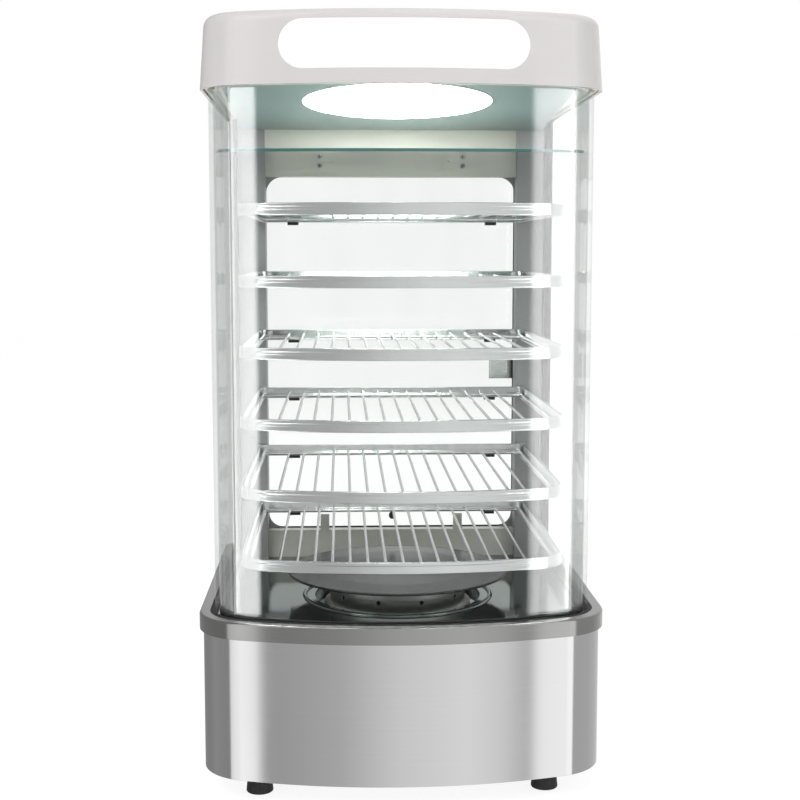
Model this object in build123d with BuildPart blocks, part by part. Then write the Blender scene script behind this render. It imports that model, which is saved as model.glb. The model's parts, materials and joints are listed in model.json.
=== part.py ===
from build123d import *
from math import cos, radians, sin, sqrt, tan
import os

os.makedirs("parts", exist_ok=True)

# A counter-top steam display case: six racks behind one bowed glass, a steam well in the base.
# Millimetres. X to the right of someone facing the glass, Y to the back, Z up.
# The origin is on the table, under the middle of the whole case.

# Driving dimensions: footprint of the cabin at the outer face of the glass
glass_width = 384.0
glass_corner = 45.0
glass_bow = 540.0
glass_thickness = 4.5
cabin_depth = 392.0

# Driving dimensions: how far each shell stands out from the glass, and behind the rear frame
rim_out = 16.0
base_out = 12.0
cap_out = 8.0
rim_back = 8.0
base_back = 4.0
cap_back = 8.0
back_corner = 8.0

# Driving dimensions: heights
foot_height = 25.2
base_height = 147.0
rim_height = 17.0
rim_overlap = 2.0
cabin_height = 524.0
cap_height = 71.0
shelf_count = 6
shelf_pitch = 70.5
lowest_shelf_rise = 60.4
sheet = 1.2
seat_gap = 0.3
running_gap = 0.05
cut_over = 1.0

# Driving dimensions: rear frame and door
post_width = 37.0
post_depth = 28.0
post_wall = 1.5
post_inset = 2.0
panel_sheet = 1.5
sill_height = 20.0
header_height = 68.0
opening_corner = 20.0
frame_depth = 14.0
seal_depth = 4.0
seal_width = 6.0
seal_lap = 3.5
door_profile_depth = 14.0
handle_plate = 2.5
handle_reach = 24.0

# Driving dimensions: lit window in the front of the cap
window_width = 241.0
window_height = 47.5
window_rise = 37.5
window_lap = 5.0

# Places that follow from the driving dimensions
door_front_back = panel_sheet + seat_gap + seal_depth
door_back_back = door_front_back + door_profile_depth
rear_reach = door_back_back + handle_plate + handle_reach
overall_depth = rim_out + cabin_depth + rear_reach
glass_front = rim_out - overall_depth / 2
rear_y = glass_front + cabin_depth
post_front = rear_y - post_depth
glass_rear = post_front - glass_thickness
base_bottom = foot_height - sheet
base_top = base_bottom + base_height
rim_bottom = base_top - rim_overlap
rim_top = rim_bottom + rim_height
deck_top = base_top + sheet
base_rear = rear_y + base_back
cap_bottom = rim_top + cabin_height
cap_top = cap_bottom + cap_height
window_z = cap_bottom + window_rise
well_y = (glass_front + glass_thickness + post_front) / 2
lowest_shelf = rim_top + lowest_shelf_rise
half_root = sqrt(0.5)


def corner_level(half, front, corner, bow):
    """Height in Y of the centres of the front corners of a bowed outline."""
    return front + bow - sqrt((bow - corner) ** 2 - (half - corner) ** 2)


def bowed_outline(half, front, rear, corner, bow, back_radius, mode=Mode.ADD):
    """Face with a bowed front, rounded front corners, straight sides and a flat back."""
    corner_x = half - corner
    reach = bow - corner
    bow_y = front + bow
    corner_y = corner_level(half, front, corner, bow)
    unit_x = corner_x / reach
    unit_y = (corner_y - bow_y) / reach
    middle = sqrt((1 + unit_x) ** 2 + unit_y**2)
    tangent = (corner_x + corner * unit_x, corner_y + corner * unit_y)
    arc_middle = (corner_x + corner * (1 + unit_x) / middle, corner_y + corner * unit_y / middle)
    back_in = back_radius * (1 - half_root)
    back_middle = (half - back_in, rear - back_in)
    with BuildLine() as outline:
        ThreePointArc((-tangent[0], tangent[1]), (0, front), tangent)
        ThreePointArc(tangent, arc_middle, (half, corner_y))
        Line((half, corner_y), (half, rear - back_radius))
        ThreePointArc((half, rear - back_radius), back_middle, (half - back_radius, rear))
        Line((half - back_radius, rear), (back_radius - half, rear))
        ThreePointArc(
            (back_radius - half, rear), (-back_middle[0], back_middle[1]), (-half, rear - back_radius)
        )
        Line((-half, rear - back_radius), (-half, corner_y))
        ThreePointArc((-half, corner_y), (-arc_middle[0], arc_middle[1]), (-tangent[0], tangent[1]))
    make_face(outline.edges(), mode=mode)


def cabin_outline(grow, rear, back_radius=back_corner, mode=Mode.ADD):
    """Footprint of the glass moved outward by grow, closed by a flat back at rear."""
    bowed_outline(
        glass_width / 2 + grow,
        glass_front - grow,
        rear,
        glass_corner + grow,
        glass_bow + grow,
        back_radius,
        mode,
    )


def save(piece, label):
    """Label a finished piece and write it to its own file."""
    piece.part.label = label
    export_step(piece.part, f"parts/{label}.step")


# Base shell: wrapped sheet with a flange turned in at the top and at the bottom
flange_width = 12.0
lower_flange_width = 5.0
control_side_inset = 94.0
control_x = glass_width / 2 - control_side_inset
control_z = 98.0
control_width = 176.0
control_height = 84.0
control_lap = 8.0
control_sheet = 2.0
drain_x = -28.0
drain_z = 84.0
drain_radius = 7.0
base_inner = base_out - sheet
base_inner_rear = base_rear - sheet

with BuildPart() as base_shell:
    with BuildSketch(Plane.XY.offset(base_bottom)):
        cabin_outline(base_out, base_rear)
    extrude(amount=base_height)
    with BuildSketch(Plane.XY.offset(base_bottom + sheet)):
        cabin_outline(base_inner, base_inner_rear, back_corner - sheet)
    extrude(amount=base_height - 2 * sheet, mode=Mode.SUBTRACT)
    with BuildSketch(Plane.XY.offset(base_bottom)):
        cabin_outline(base_inner - lower_flange_width, base_inner_rear - lower_flange_width)
    extrude(amount=sheet, mode=Mode.SUBTRACT)
    with BuildSketch(Plane.XY.offset(base_top - sheet)):
        cabin_outline(base_inner - flange_width, base_inner_rear - flange_width)
    extrude(amount=sheet, mode=Mode.SUBTRACT)
    with BuildSketch(Plane.XZ.offset(-base_rear)):
        with Locations((control_x, control_z)):
            Rectangle(control_width - 2 * control_lap, control_height - 2 * control_lap)
        with Locations((drain_x, drain_z)):
            Circle(drain_radius + seat_gap)
    extrude(amount=2 * sheet, mode=Mode.SUBTRACT)
save(base_shell, "base_shell")

# Floor plate with vents, carried by the lower flange
floor_top = foot_height + panel_sheet
foot_side_inset = 45.0
foot_x = glass_width / 2 - foot_side_inset
foot_front_inset = 48.0
foot_rear_inset = 40.0
foot_screw_radius = 2.5
vent_length = 60.0
vent_width = 5.0
vent_pitch = 12.0
vent_count = 6
foot_places = [
    (-foot_x, glass_front + foot_front_inset),
    (foot_x, glass_front + foot_front_inset),
    (-foot_x, rear_y - foot_rear_inset),
    (foot_x, rear_y - foot_rear_inset),
]

with BuildPart() as base_floor_plate:
    with BuildSketch(Plane.XY.offset(foot_height)):
        cabin_outline(base_inner - seat_gap, base_inner_rear - seat_gap, back_corner - sheet)
        with Locations(*foot_places):
            Circle(foot_screw_radius + running_gap, mode=Mode.SUBTRACT)
        with Locations((0, well_y)):
            with GridLocations(2 * vent_length, vent_pitch, 2, vent_count):
                SlotOverall(vent_length, vent_width, mode=Mode.SUBTRACT)
    extrude(amount=panel_sheet)
save(base_floor_plate, "base_floor_plate")

# Four rubber feet and the screws that hold them
foot_radius = 14.0
foot_top_radius = 11.5
foot_round = 1.5
foot_pocket_radius = 5.5
foot_pocket_depth = 10.0
screw_head_radius = 4.5
screw_head_height = 3.0
nut_height = 4.0
screw_tail = 2.0

with BuildPart() as rubber_feet:
    with Locations(*foot_places):
        Cone(foot_radius, foot_top_radius, foot_height, align=(Align.CENTER, Align.CENTER, Align.MIN))
    fillet(rubber_feet.edges().group_by(Axis.Z)[0], foot_round)
    with Locations(*foot_places):
        Cylinder(
            foot_pocket_radius,
            foot_pocket_depth,
            align=(Align.CENTER, Align.CENTER, Align.MIN),
            mode=Mode.SUBTRACT,
        )
        Cylinder(
            foot_screw_radius + running_gap,
            foot_height,
            align=(Align.CENTER, Align.CENTER, Align.MIN),
            mode=Mode.SUBTRACT,
        )
save(rubber_feet, "rubber_feet")

with BuildPart() as foot_screws:
    with BuildSketch(Plane.XY.offset(foot_pocket_depth - screw_head_height)):
        with Locations(*foot_places):
            Circle(screw_head_radius)
    extrude(amount=screw_head_height)
    with BuildSketch(Plane.XY.offset(foot_pocket_depth)):
        with Locations(*foot_places):
            Circle(foot_screw_radius)
    extrude(amount=floor_top + nut_height + screw_tail - foot_pocket_depth)
    with BuildSketch(Plane.XY.offset(floor_top)):
        with Locations(*foot_places):
            RegularPolygon(screw_head_radius, 6)
    extrude(amount=nut_height)

# Rim: rolled ring around the top of the base, hollow underneath
rim_sheet = 1.4
rim_inner_out = 5.0
rim_inner_back = 2.0
rim_round = 2.5
rim_rear = rear_y + rim_back
rim_lip_out = base_out + seat_gap

with BuildPart() as base_rim:
    with BuildSketch(Plane.XY.offset(rim_bottom)):
        cabin_outline(rim_out, rim_rear)
    extrude(amount=rim_height)
    fillet(base_rim.faces().sort_by(Axis.Z)[-1].outer_wire().edges(), rim_round)
    with BuildSketch(Plane.XY.offset(rim_bottom + rim_sheet)):
        cabin_outline(rim_out - rim_sheet, rim_rear - rim_sheet, back_corner - rim_sheet)
    extrude(amount=rim_height - 2 * rim_sheet, mode=Mode.SUBTRACT)
    with BuildSketch(Plane.XY.offset(deck_top)):
        cabin_outline(rim_inner_out + rim_sheet, rear_y + rim_inner_back + rim_sheet)
        cabin_outline(rim_inner_out, rear_y + rim_inner_back, mode=Mode.SUBTRACT)
    extrude(amount=rim_top - deck_top)
    with BuildSketch(Plane.XY.offset(rim_bottom)):
        cabin_outline(rim_lip_out, base_rear + seat_gap)
    extrude(amount=rim_sheet, mode=Mode.SUBTRACT)
    with BuildSketch(Plane.XY.offset(rim_top - rim_sheet)):
        cabin_outline(rim_inner_out, rear_y + rim_inner_back)
    extrude(amount=rim_sheet, mode=Mode.SUBTRACT)
save(base_rim, "base_rim")

# Black channel that the lower edge of the glass stands in
channel_out = 4.7
channel_in = 9.0
channel_floor = 6.8
channel_top = rim_top + seat_gap
groove_out = seat_gap
groove_in = glass_thickness + seat_gap
glass_bottom = deck_top + channel_floor + seat_gap


def open_ring(outer, inner, bottom, height, mode=Mode.ADD):
    """U-shaped wall along the glass between two offsets, open at the back."""
    with BuildSketch(Plane.XY.offset(bottom)) as ring:
        cabin_outline(outer, glass_rear, seat_gap)
        cabin_outline(inner, glass_rear + glass_thickness, seat_gap, mode=Mode.SUBTRACT)
    extrude(ring.sketch, amount=height, mode=mode)


with BuildPart() as rim_gasket:
    open_ring(channel_out, -channel_in, deck_top, channel_top - deck_top)
    open_ring(groove_out, -groove_in, deck_top + channel_floor, channel_top - deck_top, Mode.SUBTRACT)
save(rim_gasket, "rim_gasket")

# Bright angle strip along the inside of the channel
trim_height = 11.0
trim_foot = 7.0
trim_out = -channel_in - seat_gap

with BuildPart() as inner_trim_ring:
    open_ring(trim_out, trim_out - sheet, deck_top, trim_height)
    open_ring(trim_out, trim_out - trim_foot, deck_top, sheet)
save(inner_trim_ring, "inner_trim_ring")

# Deck with a pressed bead, a step and the water well
bead_ring_radius = 103.0
bead_radius = 2.5
step_radius = 92.0
step_depth = 8.0
well_radius = 64.0
well_depth = 45.0
step_top = deck_top - step_depth
well_floor = deck_top - well_depth
element_ring_radius = 48.0
element_tube = 4.0
element_rise = 7.0
element_leg_angle = 15.0
element_leg_drop = 26.0
element_flange_radius = 8.0
element_flange = 3.0
probe_x = -8.0
probe_front = 24.0
probe_y = well_y - probe_front
probe_radius = 3.0
probe_height = 24.0
probe_nut_radius = 7.0
well_axis = Axis((0, well_y, 0), (0, 0, 1))
leg_places = [
    (element_ring_radius * sin(radians(a)), well_y + element_ring_radius * cos(radians(a)))
    for a in (-element_leg_angle, element_leg_angle)
]

with BuildPart() as deck_tray:
    with BuildSketch(Plane.XY.offset(base_top)):
        cabin_outline(base_out - 2 * seat_gap, base_rear - seat_gap)
        with Locations((0, well_y)):
            Circle(step_radius, mode=Mode.SUBTRACT)
    extrude(amount=sheet)
    with BuildSketch(Plane.XZ.offset(-well_y)):
        with BuildLine():
            Polyline(
                (0, well_floor),
                (well_radius, well_floor),
                (well_radius, step_top),
                (step_radius, step_top),
                (step_radius, deck_top),
                (step_radius + sheet, deck_top),
                (step_radius + sheet, step_top - sheet),
                (well_radius + sheet, step_top - sheet),
                (well_radius + sheet, well_floor - sheet),
                (0, well_floor - sheet),
                close=True,
            )
        make_face()
    revolve(axis=well_axis)
    with BuildSketch(Plane.XZ.offset(-well_y)):
        with Locations((bead_ring_radius, deck_top)):
            Circle(bead_radius)
            with Locations((0, -sheet)):
                Rectangle(
                    2 * bead_radius, bead_radius, align=(Align.CENTER, Align.MAX), mode=Mode.SUBTRACT
                )
    revolve(axis=well_axis)
    with BuildSketch(Plane.XY.offset(well_floor - sheet)):
        with Locations((drain_x, well_y)):
            Circle(drain_radius - sheet)
        with Locations(*leg_places):
            Circle(element_tube + seat_gap)
        with Locations((probe_x, probe_y)):
            Circle(probe_radius + seat_gap)
    extrude(amount=sheet, mode=Mode.SUBTRACT)
save(deck_tray, "deck_tray")

# Heating element: an almost closed ring with two legs through the floor of the well
element_z = well_floor + element_flange + element_rise

with BuildPart() as element_ring:
    with BuildSketch(Plane.YZ):
        with Locations((well_y + element_ring_radius, element_z)):
            Circle(element_tube)
    revolve(axis=well_axis, revolution_arc=360 - 2 * element_leg_angle)
with BuildPart() as heating_element:
    add(element_ring.part.rotate(well_axis, element_leg_angle))
    with Locations(*[(x, y, element_z) for x, y in leg_places]):
        Sphere(element_tube)
    with BuildSketch(Plane.XY.offset(well_floor - element_leg_drop)):
        with Locations(*leg_places):
            Circle(element_tube)
    extrude(amount=element_z - well_floor + element_leg_drop)
    with BuildSketch(Plane.XY.offset(well_floor)):
        with Locations(*leg_places):
            Circle(element_flange_radius)
    extrude(amount=element_flange)
save(heating_element, "heating_element")

# Water probe, screwed through the floor of the well
with BuildPart() as water_probe:
    with BuildSketch(Plane.XY.offset(well_floor - element_leg_drop)):
        with Locations((probe_x, probe_y)):
            Circle(probe_radius)
    extrude(amount=element_leg_drop + probe_height)
    fillet(water_probe.edges().group_by(Axis.Z)[-1], probe_radius / 2)
    with BuildSketch(Plane.XY.offset(well_floor)):
        with Locations((probe_x, probe_y)):
            RegularPolygon(probe_nut_radius, 6)
    extrude(amount=element_flange)
save(water_probe, "water_probe")

# High-limit cut-out, held flat against the underside of the well
cutout_x = 34.0
cutout_radius = 9.0
cutout_height = 10.0
cutout_tab = 3.0
cutout_tab_height = 6.0

with BuildPart() as high_limit_cutout:
    with BuildSketch(Plane.XY.offset(well_floor - sheet - cutout_height)):
        with Locations((cutout_x, well_y)):
            Circle(cutout_radius)
    extrude(amount=cutout_height)
    with BuildSketch(Plane.XY.offset(well_floor - sheet - cutout_height - cutout_tab_height)):
        with Locations((cutout_x, well_y)):
            with GridLocations(cutout_radius, 0, 2, 1):
                Rectangle(sheet, cutout_tab)
    extrude(amount=cutout_tab_height)
save(high_limit_cutout, "high_limit_cutout")

# Steam collar: loose ring with a foot and a row of holes, standing on the step of the well
collar_radius = 75.0
collar_sheet = 1.5
collar_foot = 6.0
collar_stand = 15.0
collar_top = rim_top + collar_stand
collar_hole_radius = 2.6
collar_hole_rise = 14.0
collar_hole_count = 10
collar_bottom = step_top + seat_gap

with BuildPart() as steam_collar:
    with BuildSketch(Plane.XY.offset(collar_bottom)):
        with Locations((0, well_y)):
            Circle(collar_radius)
            Circle(collar_radius - collar_sheet, mode=Mode.SUBTRACT)
    extrude(amount=collar_top - collar_bottom)
    with BuildSketch(Plane.XY.offset(collar_bottom)):
        with Locations((0, well_y)):
            Circle(collar_radius + collar_foot)
            Circle(collar_radius - collar_foot, mode=Mode.SUBTRACT)
    extrude(amount=collar_sheet)
    with Locations((0, well_y, collar_bottom + collar_hole_rise)):
        with PolarLocations(collar_radius, collar_hole_count, angular_range=360):
            Cylinder(collar_hole_radius, 4 * collar_sheet, rotation=(0, 90, 0), mode=Mode.SUBTRACT)
save(steam_collar, "steam_collar")

# Steam disc: flat in the middle, sloping to a rolled edge
disc_radius = 120.0
disc_flat_radius = 84.0
disc_drop = 1.5
disc_hem = 1.4

with BuildPart() as steam_disc:
    with BuildSketch(Plane.XZ.offset(-well_y)):
        with BuildLine():
            Polyline(
                (0, collar_top),
                (disc_flat_radius, collar_top),
                (disc_radius, collar_top - disc_drop),
                (disc_radius, collar_top - disc_drop + sheet),
                (disc_flat_radius, collar_top + sheet),
                (0, collar_top + sheet),
                close=True,
            )
        make_face()
        with Locations((disc_radius, collar_top - disc_drop)):
            Circle(disc_hem)
    revolve(axis=well_axis)
save(steam_disc, "steam_disc")

# Drain pipe from the well to the back wall
drain_bend = 20.0
drain_flange_radius = 13.0
drain_pipe_reach = 5.0
drain_top = well_floor - sheet
drain_end = base_rear + drain_pipe_reach

with BuildPart() as drain_pipe:
    with BuildLine() as drain_path:
        FilletPolyline(
            (drain_x, well_y, drain_top),
            (drain_x, well_y, drain_z),
            (drain_x, drain_end, drain_z),
            radius=drain_bend,
        )
    with BuildSketch(Plane.XY.offset(drain_top)):
        with Locations((drain_x, well_y)):
            Circle(drain_radius)
            Circle(drain_radius - sheet, mode=Mode.SUBTRACT)
    sweep(path=drain_path.wires()[0])
    with BuildSketch(Plane.XY.offset(drain_top)):
        with Locations((drain_x, well_y)):
            Circle(drain_flange_radius)
            Circle(drain_radius - sheet, mode=Mode.SUBTRACT)
    extrude(amount=-collar_sheet)
save(drain_pipe, "drain_pipe")

# Drain valve: a body, and the lever with its stem and the ball inside
valve_radius = 11.5
valve_length = 34.0
valve_bore = 4.5
valve_ball = 8.0
valve_ball_out = 15.0
valve_ball_y = base_rear + valve_ball_out
valve_neck_radius = 6.5
valve_neck_height = 17.0
valve_spout_radius = 7.5
valve_spout_drop = 22.0
valve_end_wall = 3.0
valve_spout_y = base_rear + valve_length - valve_spout_radius - valve_end_wall
stem_radius = 3.0
lever_hub_radius = 6.0
lever_thickness = 3.0
lever_length = 44.0
lever_width = 9.0
lever_gap = 1.0
valve_center = (drain_x, valve_ball_y, drain_z)

with BuildPart() as drain_valve_body:
    with BuildSketch(Plane.XZ.offset(-base_rear - valve_length)):
        with Locations((drain_x, drain_z)):
            Circle(valve_radius)
    extrude(amount=valve_length)
    fillet(drain_valve_body.edges().group_by(Axis.Y)[-1], foot_round)
    with BuildSketch(Plane.XY.offset(drain_z)):
        with Locations((drain_x, valve_ball_y)):
            Circle(valve_neck_radius)
    extrude(amount=valve_neck_height)
    with BuildSketch(Plane.XY.offset(drain_z - valve_spout_drop)):
        with Locations((drain_x, valve_spout_y)):
            Circle(valve_spout_radius)
    extrude(amount=valve_spout_drop)
    with BuildSketch(Plane.XZ.offset(-drain_end)):
        with Locations((drain_x, drain_z)):
            Circle(drain_radius + running_gap)
    extrude(amount=drain_pipe_reach, mode=Mode.SUBTRACT)
    with BuildSketch(Plane.XZ.offset(-valve_spout_y)):
        with Locations((drain_x, drain_z)):
            Circle(valve_bore)
    extrude(amount=valve_spout_y - drain_end, mode=Mode.SUBTRACT)
    with BuildSketch(Plane.XY.offset(drain_z - valve_spout_drop)):
        with Locations((drain_x, valve_spout_y)):
            Circle(valve_bore)
    extrude(amount=valve_spout_drop, mode=Mode.SUBTRACT)
    with Locations(valve_center):
        Sphere(valve_ball + seat_gap, mode=Mode.SUBTRACT)
    with BuildSketch(Plane.XY.offset(drain_z)):
        with Locations((drain_x, valve_ball_y)):
            Circle(stem_radius + running_gap)
    extrude(amount=valve_neck_height + cut_over, mode=Mode.SUBTRACT)
save(drain_valve_body, "drain_valve_body")

lever_bottom = drain_z + valve_neck_height + lever_gap

with BuildPart() as drain_valve_lever:
    with Locations(valve_center):
        Sphere(valve_ball)
    with BuildSketch(Plane.YZ.offset(drain_x)):
        with Locations((valve_ball_y, drain_z)):
            Circle(valve_bore)
    extrude(amount=2 * valve_ball, both=True, mode=Mode.SUBTRACT)
    with BuildSketch(Plane.XY.offset(drain_z + valve_bore + sheet)):
        with Locations((drain_x, valve_ball_y)):
            Circle(stem_radius)
    extrude(amount=lever_bottom - drain_z - valve_bore - sheet)
    with BuildSketch(Plane.XY.offset(lever_bottom)):
        with Locations((drain_x - lever_length / 2 + lever_width / 2, valve_ball_y)):
            SlotOverall(lever_length, lever_width)
    extrude(amount=lever_thickness)
    with BuildSketch(Plane.XY.offset(lever_bottom)):
        with Locations((drain_x, valve_ball_y)):
            Circle(lever_hub_radius)
    extrude(amount=2 * lever_thickness)
save(drain_valve_lever, "drain_valve_lever")

# Control panel on the back of the base
panel_back = base_rear + control_sheet
dial_right = 58.0
heater_switch_right = 20.0
lamp_switch_left = 2.0
inlet_left = 50.0
dial_x = control_x + dial_right
heater_switch_x = control_x + heater_switch_right
lamp_switch_x = control_x - lamp_switch_left
inlet_x = control_x - inlet_left
dial_shaft_radius = 3.0
switch_hole_width = 13.0
switch_hole_height = 19.0
lamp_rise = 24.0
lamp_radius = 4.0
inlet_width = 27.0
inlet_height = 20.0
control_screw_radius = 1.6
control_screw_inset = 4.0
switch_places = [(heater_switch_x, control_z), (lamp_switch_x, control_z)]
lamp_places = [(heater_switch_x, control_z + lamp_rise), (lamp_switch_x, control_z + lamp_rise)]
control_screw_span = control_width - 2 * control_screw_inset
control_screw_drop = control_height - 2 * control_screw_inset

with BuildPart() as control_panel:
    with BuildSketch(Plane.XZ.offset(-panel_back)):
        with Locations((control_x, control_z)):
            RectangleRounded(control_width, control_height, control_screw_inset)
            with GridLocations(control_screw_span, control_screw_drop, 2, 2):
                Circle(control_screw_radius, mode=Mode.SUBTRACT)
        with Locations((dial_x, control_z)):
            Circle(dial_shaft_radius + seat_gap, mode=Mode.SUBTRACT)
        with Locations(*switch_places):
            Rectangle(switch_hole_width, switch_hole_height, mode=Mode.SUBTRACT)
        with Locations(*lamp_places):
            Circle(lamp_radius, mode=Mode.SUBTRACT)
        with Locations((inlet_x, control_z)):
            Rectangle(inlet_width, inlet_height, mode=Mode.SUBTRACT)
    extrude(amount=control_sheet)
save(control_panel, "control_panel")

control_screw_head = 3.0
control_screw_head_height = 1.8

with BuildPart() as control_panel_screws:
    with BuildSketch(Plane.XZ.offset(-panel_back)):
        with Locations((control_x, control_z)):
            with GridLocations(control_screw_span, control_screw_drop, 2, 2):
                Circle(control_screw_head)
    extrude(amount=-control_screw_head_height)
    fillet(control_panel_screws.edges().group_by(Axis.Y)[-1], control_screw_head_height / 2)
    with BuildSketch(Plane.XZ.offset(-panel_back)):
        with Locations((control_x, control_z)):
            with GridLocations(control_screw_span, control_screw_drop, 2, 2):
                Circle(control_screw_radius)
    extrude(amount=control_sheet)

# Thermostat, and the knob on its shaft
thermostat_size = 34.0
thermostat_depth = 28.0
shaft_out = 13.0
shaft_in = 10.0
knob_radius = 17.0
knob_top_radius = 14.5
knob_height = 16.0
knob_gap = 0.6
knob_mark_width = 1.6

with BuildPart() as thermostat_body:
    with BuildSketch(Plane.XZ.offset(-base_rear)):
        with Locations((dial_x, control_z)):
            Rectangle(thermostat_size, thermostat_size)
    extrude(amount=thermostat_depth)
    with BuildSketch(Plane.XZ.offset(-base_rear)):
        with Locations((dial_x, control_z)):
            Circle(dial_shaft_radius + running_gap)
    extrude(amount=shaft_in + seat_gap, mode=Mode.SUBTRACT)
save(thermostat_body, "thermostat_body")

with BuildPart() as thermostat_knob:
    with BuildSketch(Plane.XZ.offset(-panel_back - knob_gap)):
        with Locations((dial_x, control_z)):
            Circle(knob_radius)
    with BuildSketch(Plane.XZ.offset(-panel_back - knob_height)):
        with Locations((dial_x, control_z)):
            Circle(knob_top_radius)
    loft()
    fillet(thermostat_knob.edges().group_by(Axis.Y)[-1], foot_round)
    with BuildSketch(Plane.XZ.offset(-panel_back - knob_height)):
        with Locations((dial_x, control_z + knob_top_radius / 2)):
            Rectangle(knob_mark_width, knob_top_radius)
    extrude(amount=knob_mark_width / 2, mode=Mode.SUBTRACT)
    with BuildSketch(Plane.XZ.offset(-panel_back - shaft_out)):
        with Locations((dial_x, control_z)):
            Circle(dial_shaft_radius)
    extrude(amount=shaft_out + control_sheet + shaft_in)
save(thermostat_knob, "thermostat_knob")

# Rocker switches: a housing with a pocket, and a rocker that tilts in it
switch_depth = 18.0
switch_bezel = 1.5
switch_bezel_height = 1.5
pocket_width = 10.8
pocket_height = 16.0
pocket_depth = 6.0
rocker_width = 10.2
rocker_height = 14.4
rocker_tilt = 7.0
rocker_pivot_in = 1.0
rocker_in = 4.0
rocker_out_end = 2.0
rocker_out_middle = 1.2
switch_front = panel_back + switch_bezel_height

with BuildPart() as switch_housings:
    with BuildSketch(Plane.XZ.offset(-switch_front)):
        with Locations(*switch_places):
            Rectangle(switch_hole_width + 2 * switch_bezel, switch_hole_height + 2 * switch_bezel)
    extrude(amount=switch_bezel_height)
    with BuildSketch(Plane.XZ.offset(-panel_back)):
        with Locations(*switch_places):
            Rectangle(switch_hole_width, switch_hole_height)
    extrude(amount=switch_depth)
    with BuildSketch(Plane.XZ.offset(-switch_front)):
        with Locations(*switch_places):
            Rectangle(pocket_width, pocket_height)
    extrude(amount=pocket_depth, mode=Mode.SUBTRACT)
save(switch_housings, "switch_housings")


def make_rocker(x, name):
    """Rocker lying in its housing, tilted to off."""
    pivot = Axis((x, switch_front - rocker_pivot_in, control_z), (1, 0, 0))
    half = rocker_height / 2
    with BuildPart() as level_rocker:
        with BuildSketch(Plane.YZ.offset(x - rocker_width / 2)):
            with BuildLine():
                Polyline(
                    (switch_front - rocker_in, control_z - half),
                    (switch_front - rocker_in, control_z + half),
                    (switch_front + rocker_out_end, control_z + half),
                    (switch_front + rocker_out_middle, control_z),
                    (switch_front + rocker_out_end, control_z - half),
                    close=True,
                )
            make_face()
        extrude(amount=rocker_width)
    with BuildPart() as rocker:
        add(level_rocker.part.rotate(pivot, -rocker_tilt))
    save(rocker, name)


make_rocker(heater_switch_x, "heater_rocker")
make_rocker(lamp_switch_x, "lamp_rocker")

# Indicator lamps above the switches
lamp_flange = 1.2
lamp_flange_height = 1.0
lamp_dome = 2.5
lamp_depth = 12.0

with BuildPart() as indicator_lamps:
    with BuildSketch(Plane.XZ.offset(-panel_back)):
        with Locations(*lamp_places):
            Circle(lamp_radius)
    extrude(amount=lamp_depth)
    with BuildSketch(Plane.XZ.offset(-panel_back - lamp_flange_height)):
        with Locations(*lamp_places):
            Circle(lamp_radius + lamp_flange)
    extrude(amount=lamp_flange_height)
    with BuildSketch(Plane.XZ.offset(-panel_back - lamp_flange_height - lamp_dome)):
        with Locations(*lamp_places):
            Circle(lamp_radius)
    extrude(amount=lamp_dome)
    fillet(indicator_lamps.edges().group_by(Axis.Y)[-1], lamp_dome - lamp_flange / 2)
save(indicator_lamps, "indicator_lamps")

# Power inlet with three pins in its socket
inlet_flange = 3.0
inlet_ear = 11.0
inlet_flange_height = 2.5
inlet_depth = 22.0
inlet_wall = 1.5
inlet_socket_depth = 16.0
pin_width = 2.0
pin_height = 4.0
pin_pitch = 7.0
pin_length = 13.0
inlet_front = panel_back + inlet_flange_height

with BuildPart() as power_inlet:
    with BuildSketch(Plane.XZ.offset(-inlet_front)):
        with Locations((inlet_x, control_z)):
            RectangleRounded(inlet_width + 2 * inlet_ear, inlet_height + 2 * inlet_flange, inlet_flange)
    extrude(amount=inlet_flange_height)
    with BuildSketch(Plane.XZ.offset(-panel_back)):
        with Locations((inlet_x, control_z)):
            Rectangle(inlet_width, inlet_height)
    extrude(amount=inlet_depth)
    with BuildSketch(Plane.XZ.offset(-inlet_front)):
        with Locations((inlet_x, control_z)):
            Rectangle(inlet_width - 2 * inlet_wall, inlet_height - 2 * inlet_wall)
    extrude(amount=inlet_socket_depth, mode=Mode.SUBTRACT)
    with BuildSketch(Plane.XZ.offset(inlet_socket_depth - inlet_front)):
        with Locations((inlet_x - pin_pitch, control_z), (inlet_x + pin_pitch, control_z)):
            Rectangle(pin_width, pin_height)
        with Locations((inlet_x, control_z - pin_height)):
            Rectangle(pin_width, pin_height)
    extrude(amount=-pin_length)
save(power_inlet, "power_inlet")

# Terminal block on the floor plate
terminal_right = 12.0
terminal_x = control_x + terminal_right
terminal_back = 60.0
terminal_y = well_y + terminal_back
terminal_length = 60.0
terminal_width = 18.0
terminal_height = 16.0
terminal_pitch = 10.0
terminal_count = 5
terminal_hole = 3.0

with BuildPart() as terminal_block:
    with BuildSketch(Plane.XY.offset(floor_top)):
        with Locations((terminal_x, terminal_y)):
            Rectangle(terminal_length, terminal_width)
    extrude(amount=terminal_height)
    with BuildSketch(Plane.XY.offset(floor_top + terminal_height)):
        with Locations((terminal_x, terminal_y)):
            with GridLocations(terminal_pitch, terminal_width / 2, terminal_count, 2):
                Circle(terminal_hole)
    extrude(amount=-terminal_height / 2, mode=Mode.SUBTRACT)
save(terminal_block, "terminal_block")

# Bowed glass, one piece from post to post
frame_bottom = cap_bottom + cut_over
frame_height = 22.0
frame_top = frame_bottom + frame_height
glass_top_in = 6.0
glass_top = frame_bottom + glass_top_in

with BuildPart() as front_glass:
    open_ring(0, -glass_thickness, glass_bottom, glass_top - glass_bottom)
save(front_glass, "front_glass")

# Rubber edging on the two upright edges of the glass
edging_wall = 2.0
edging_in = 10.0
edging_half = glass_thickness / 2 + seat_gap + edging_wall

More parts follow.
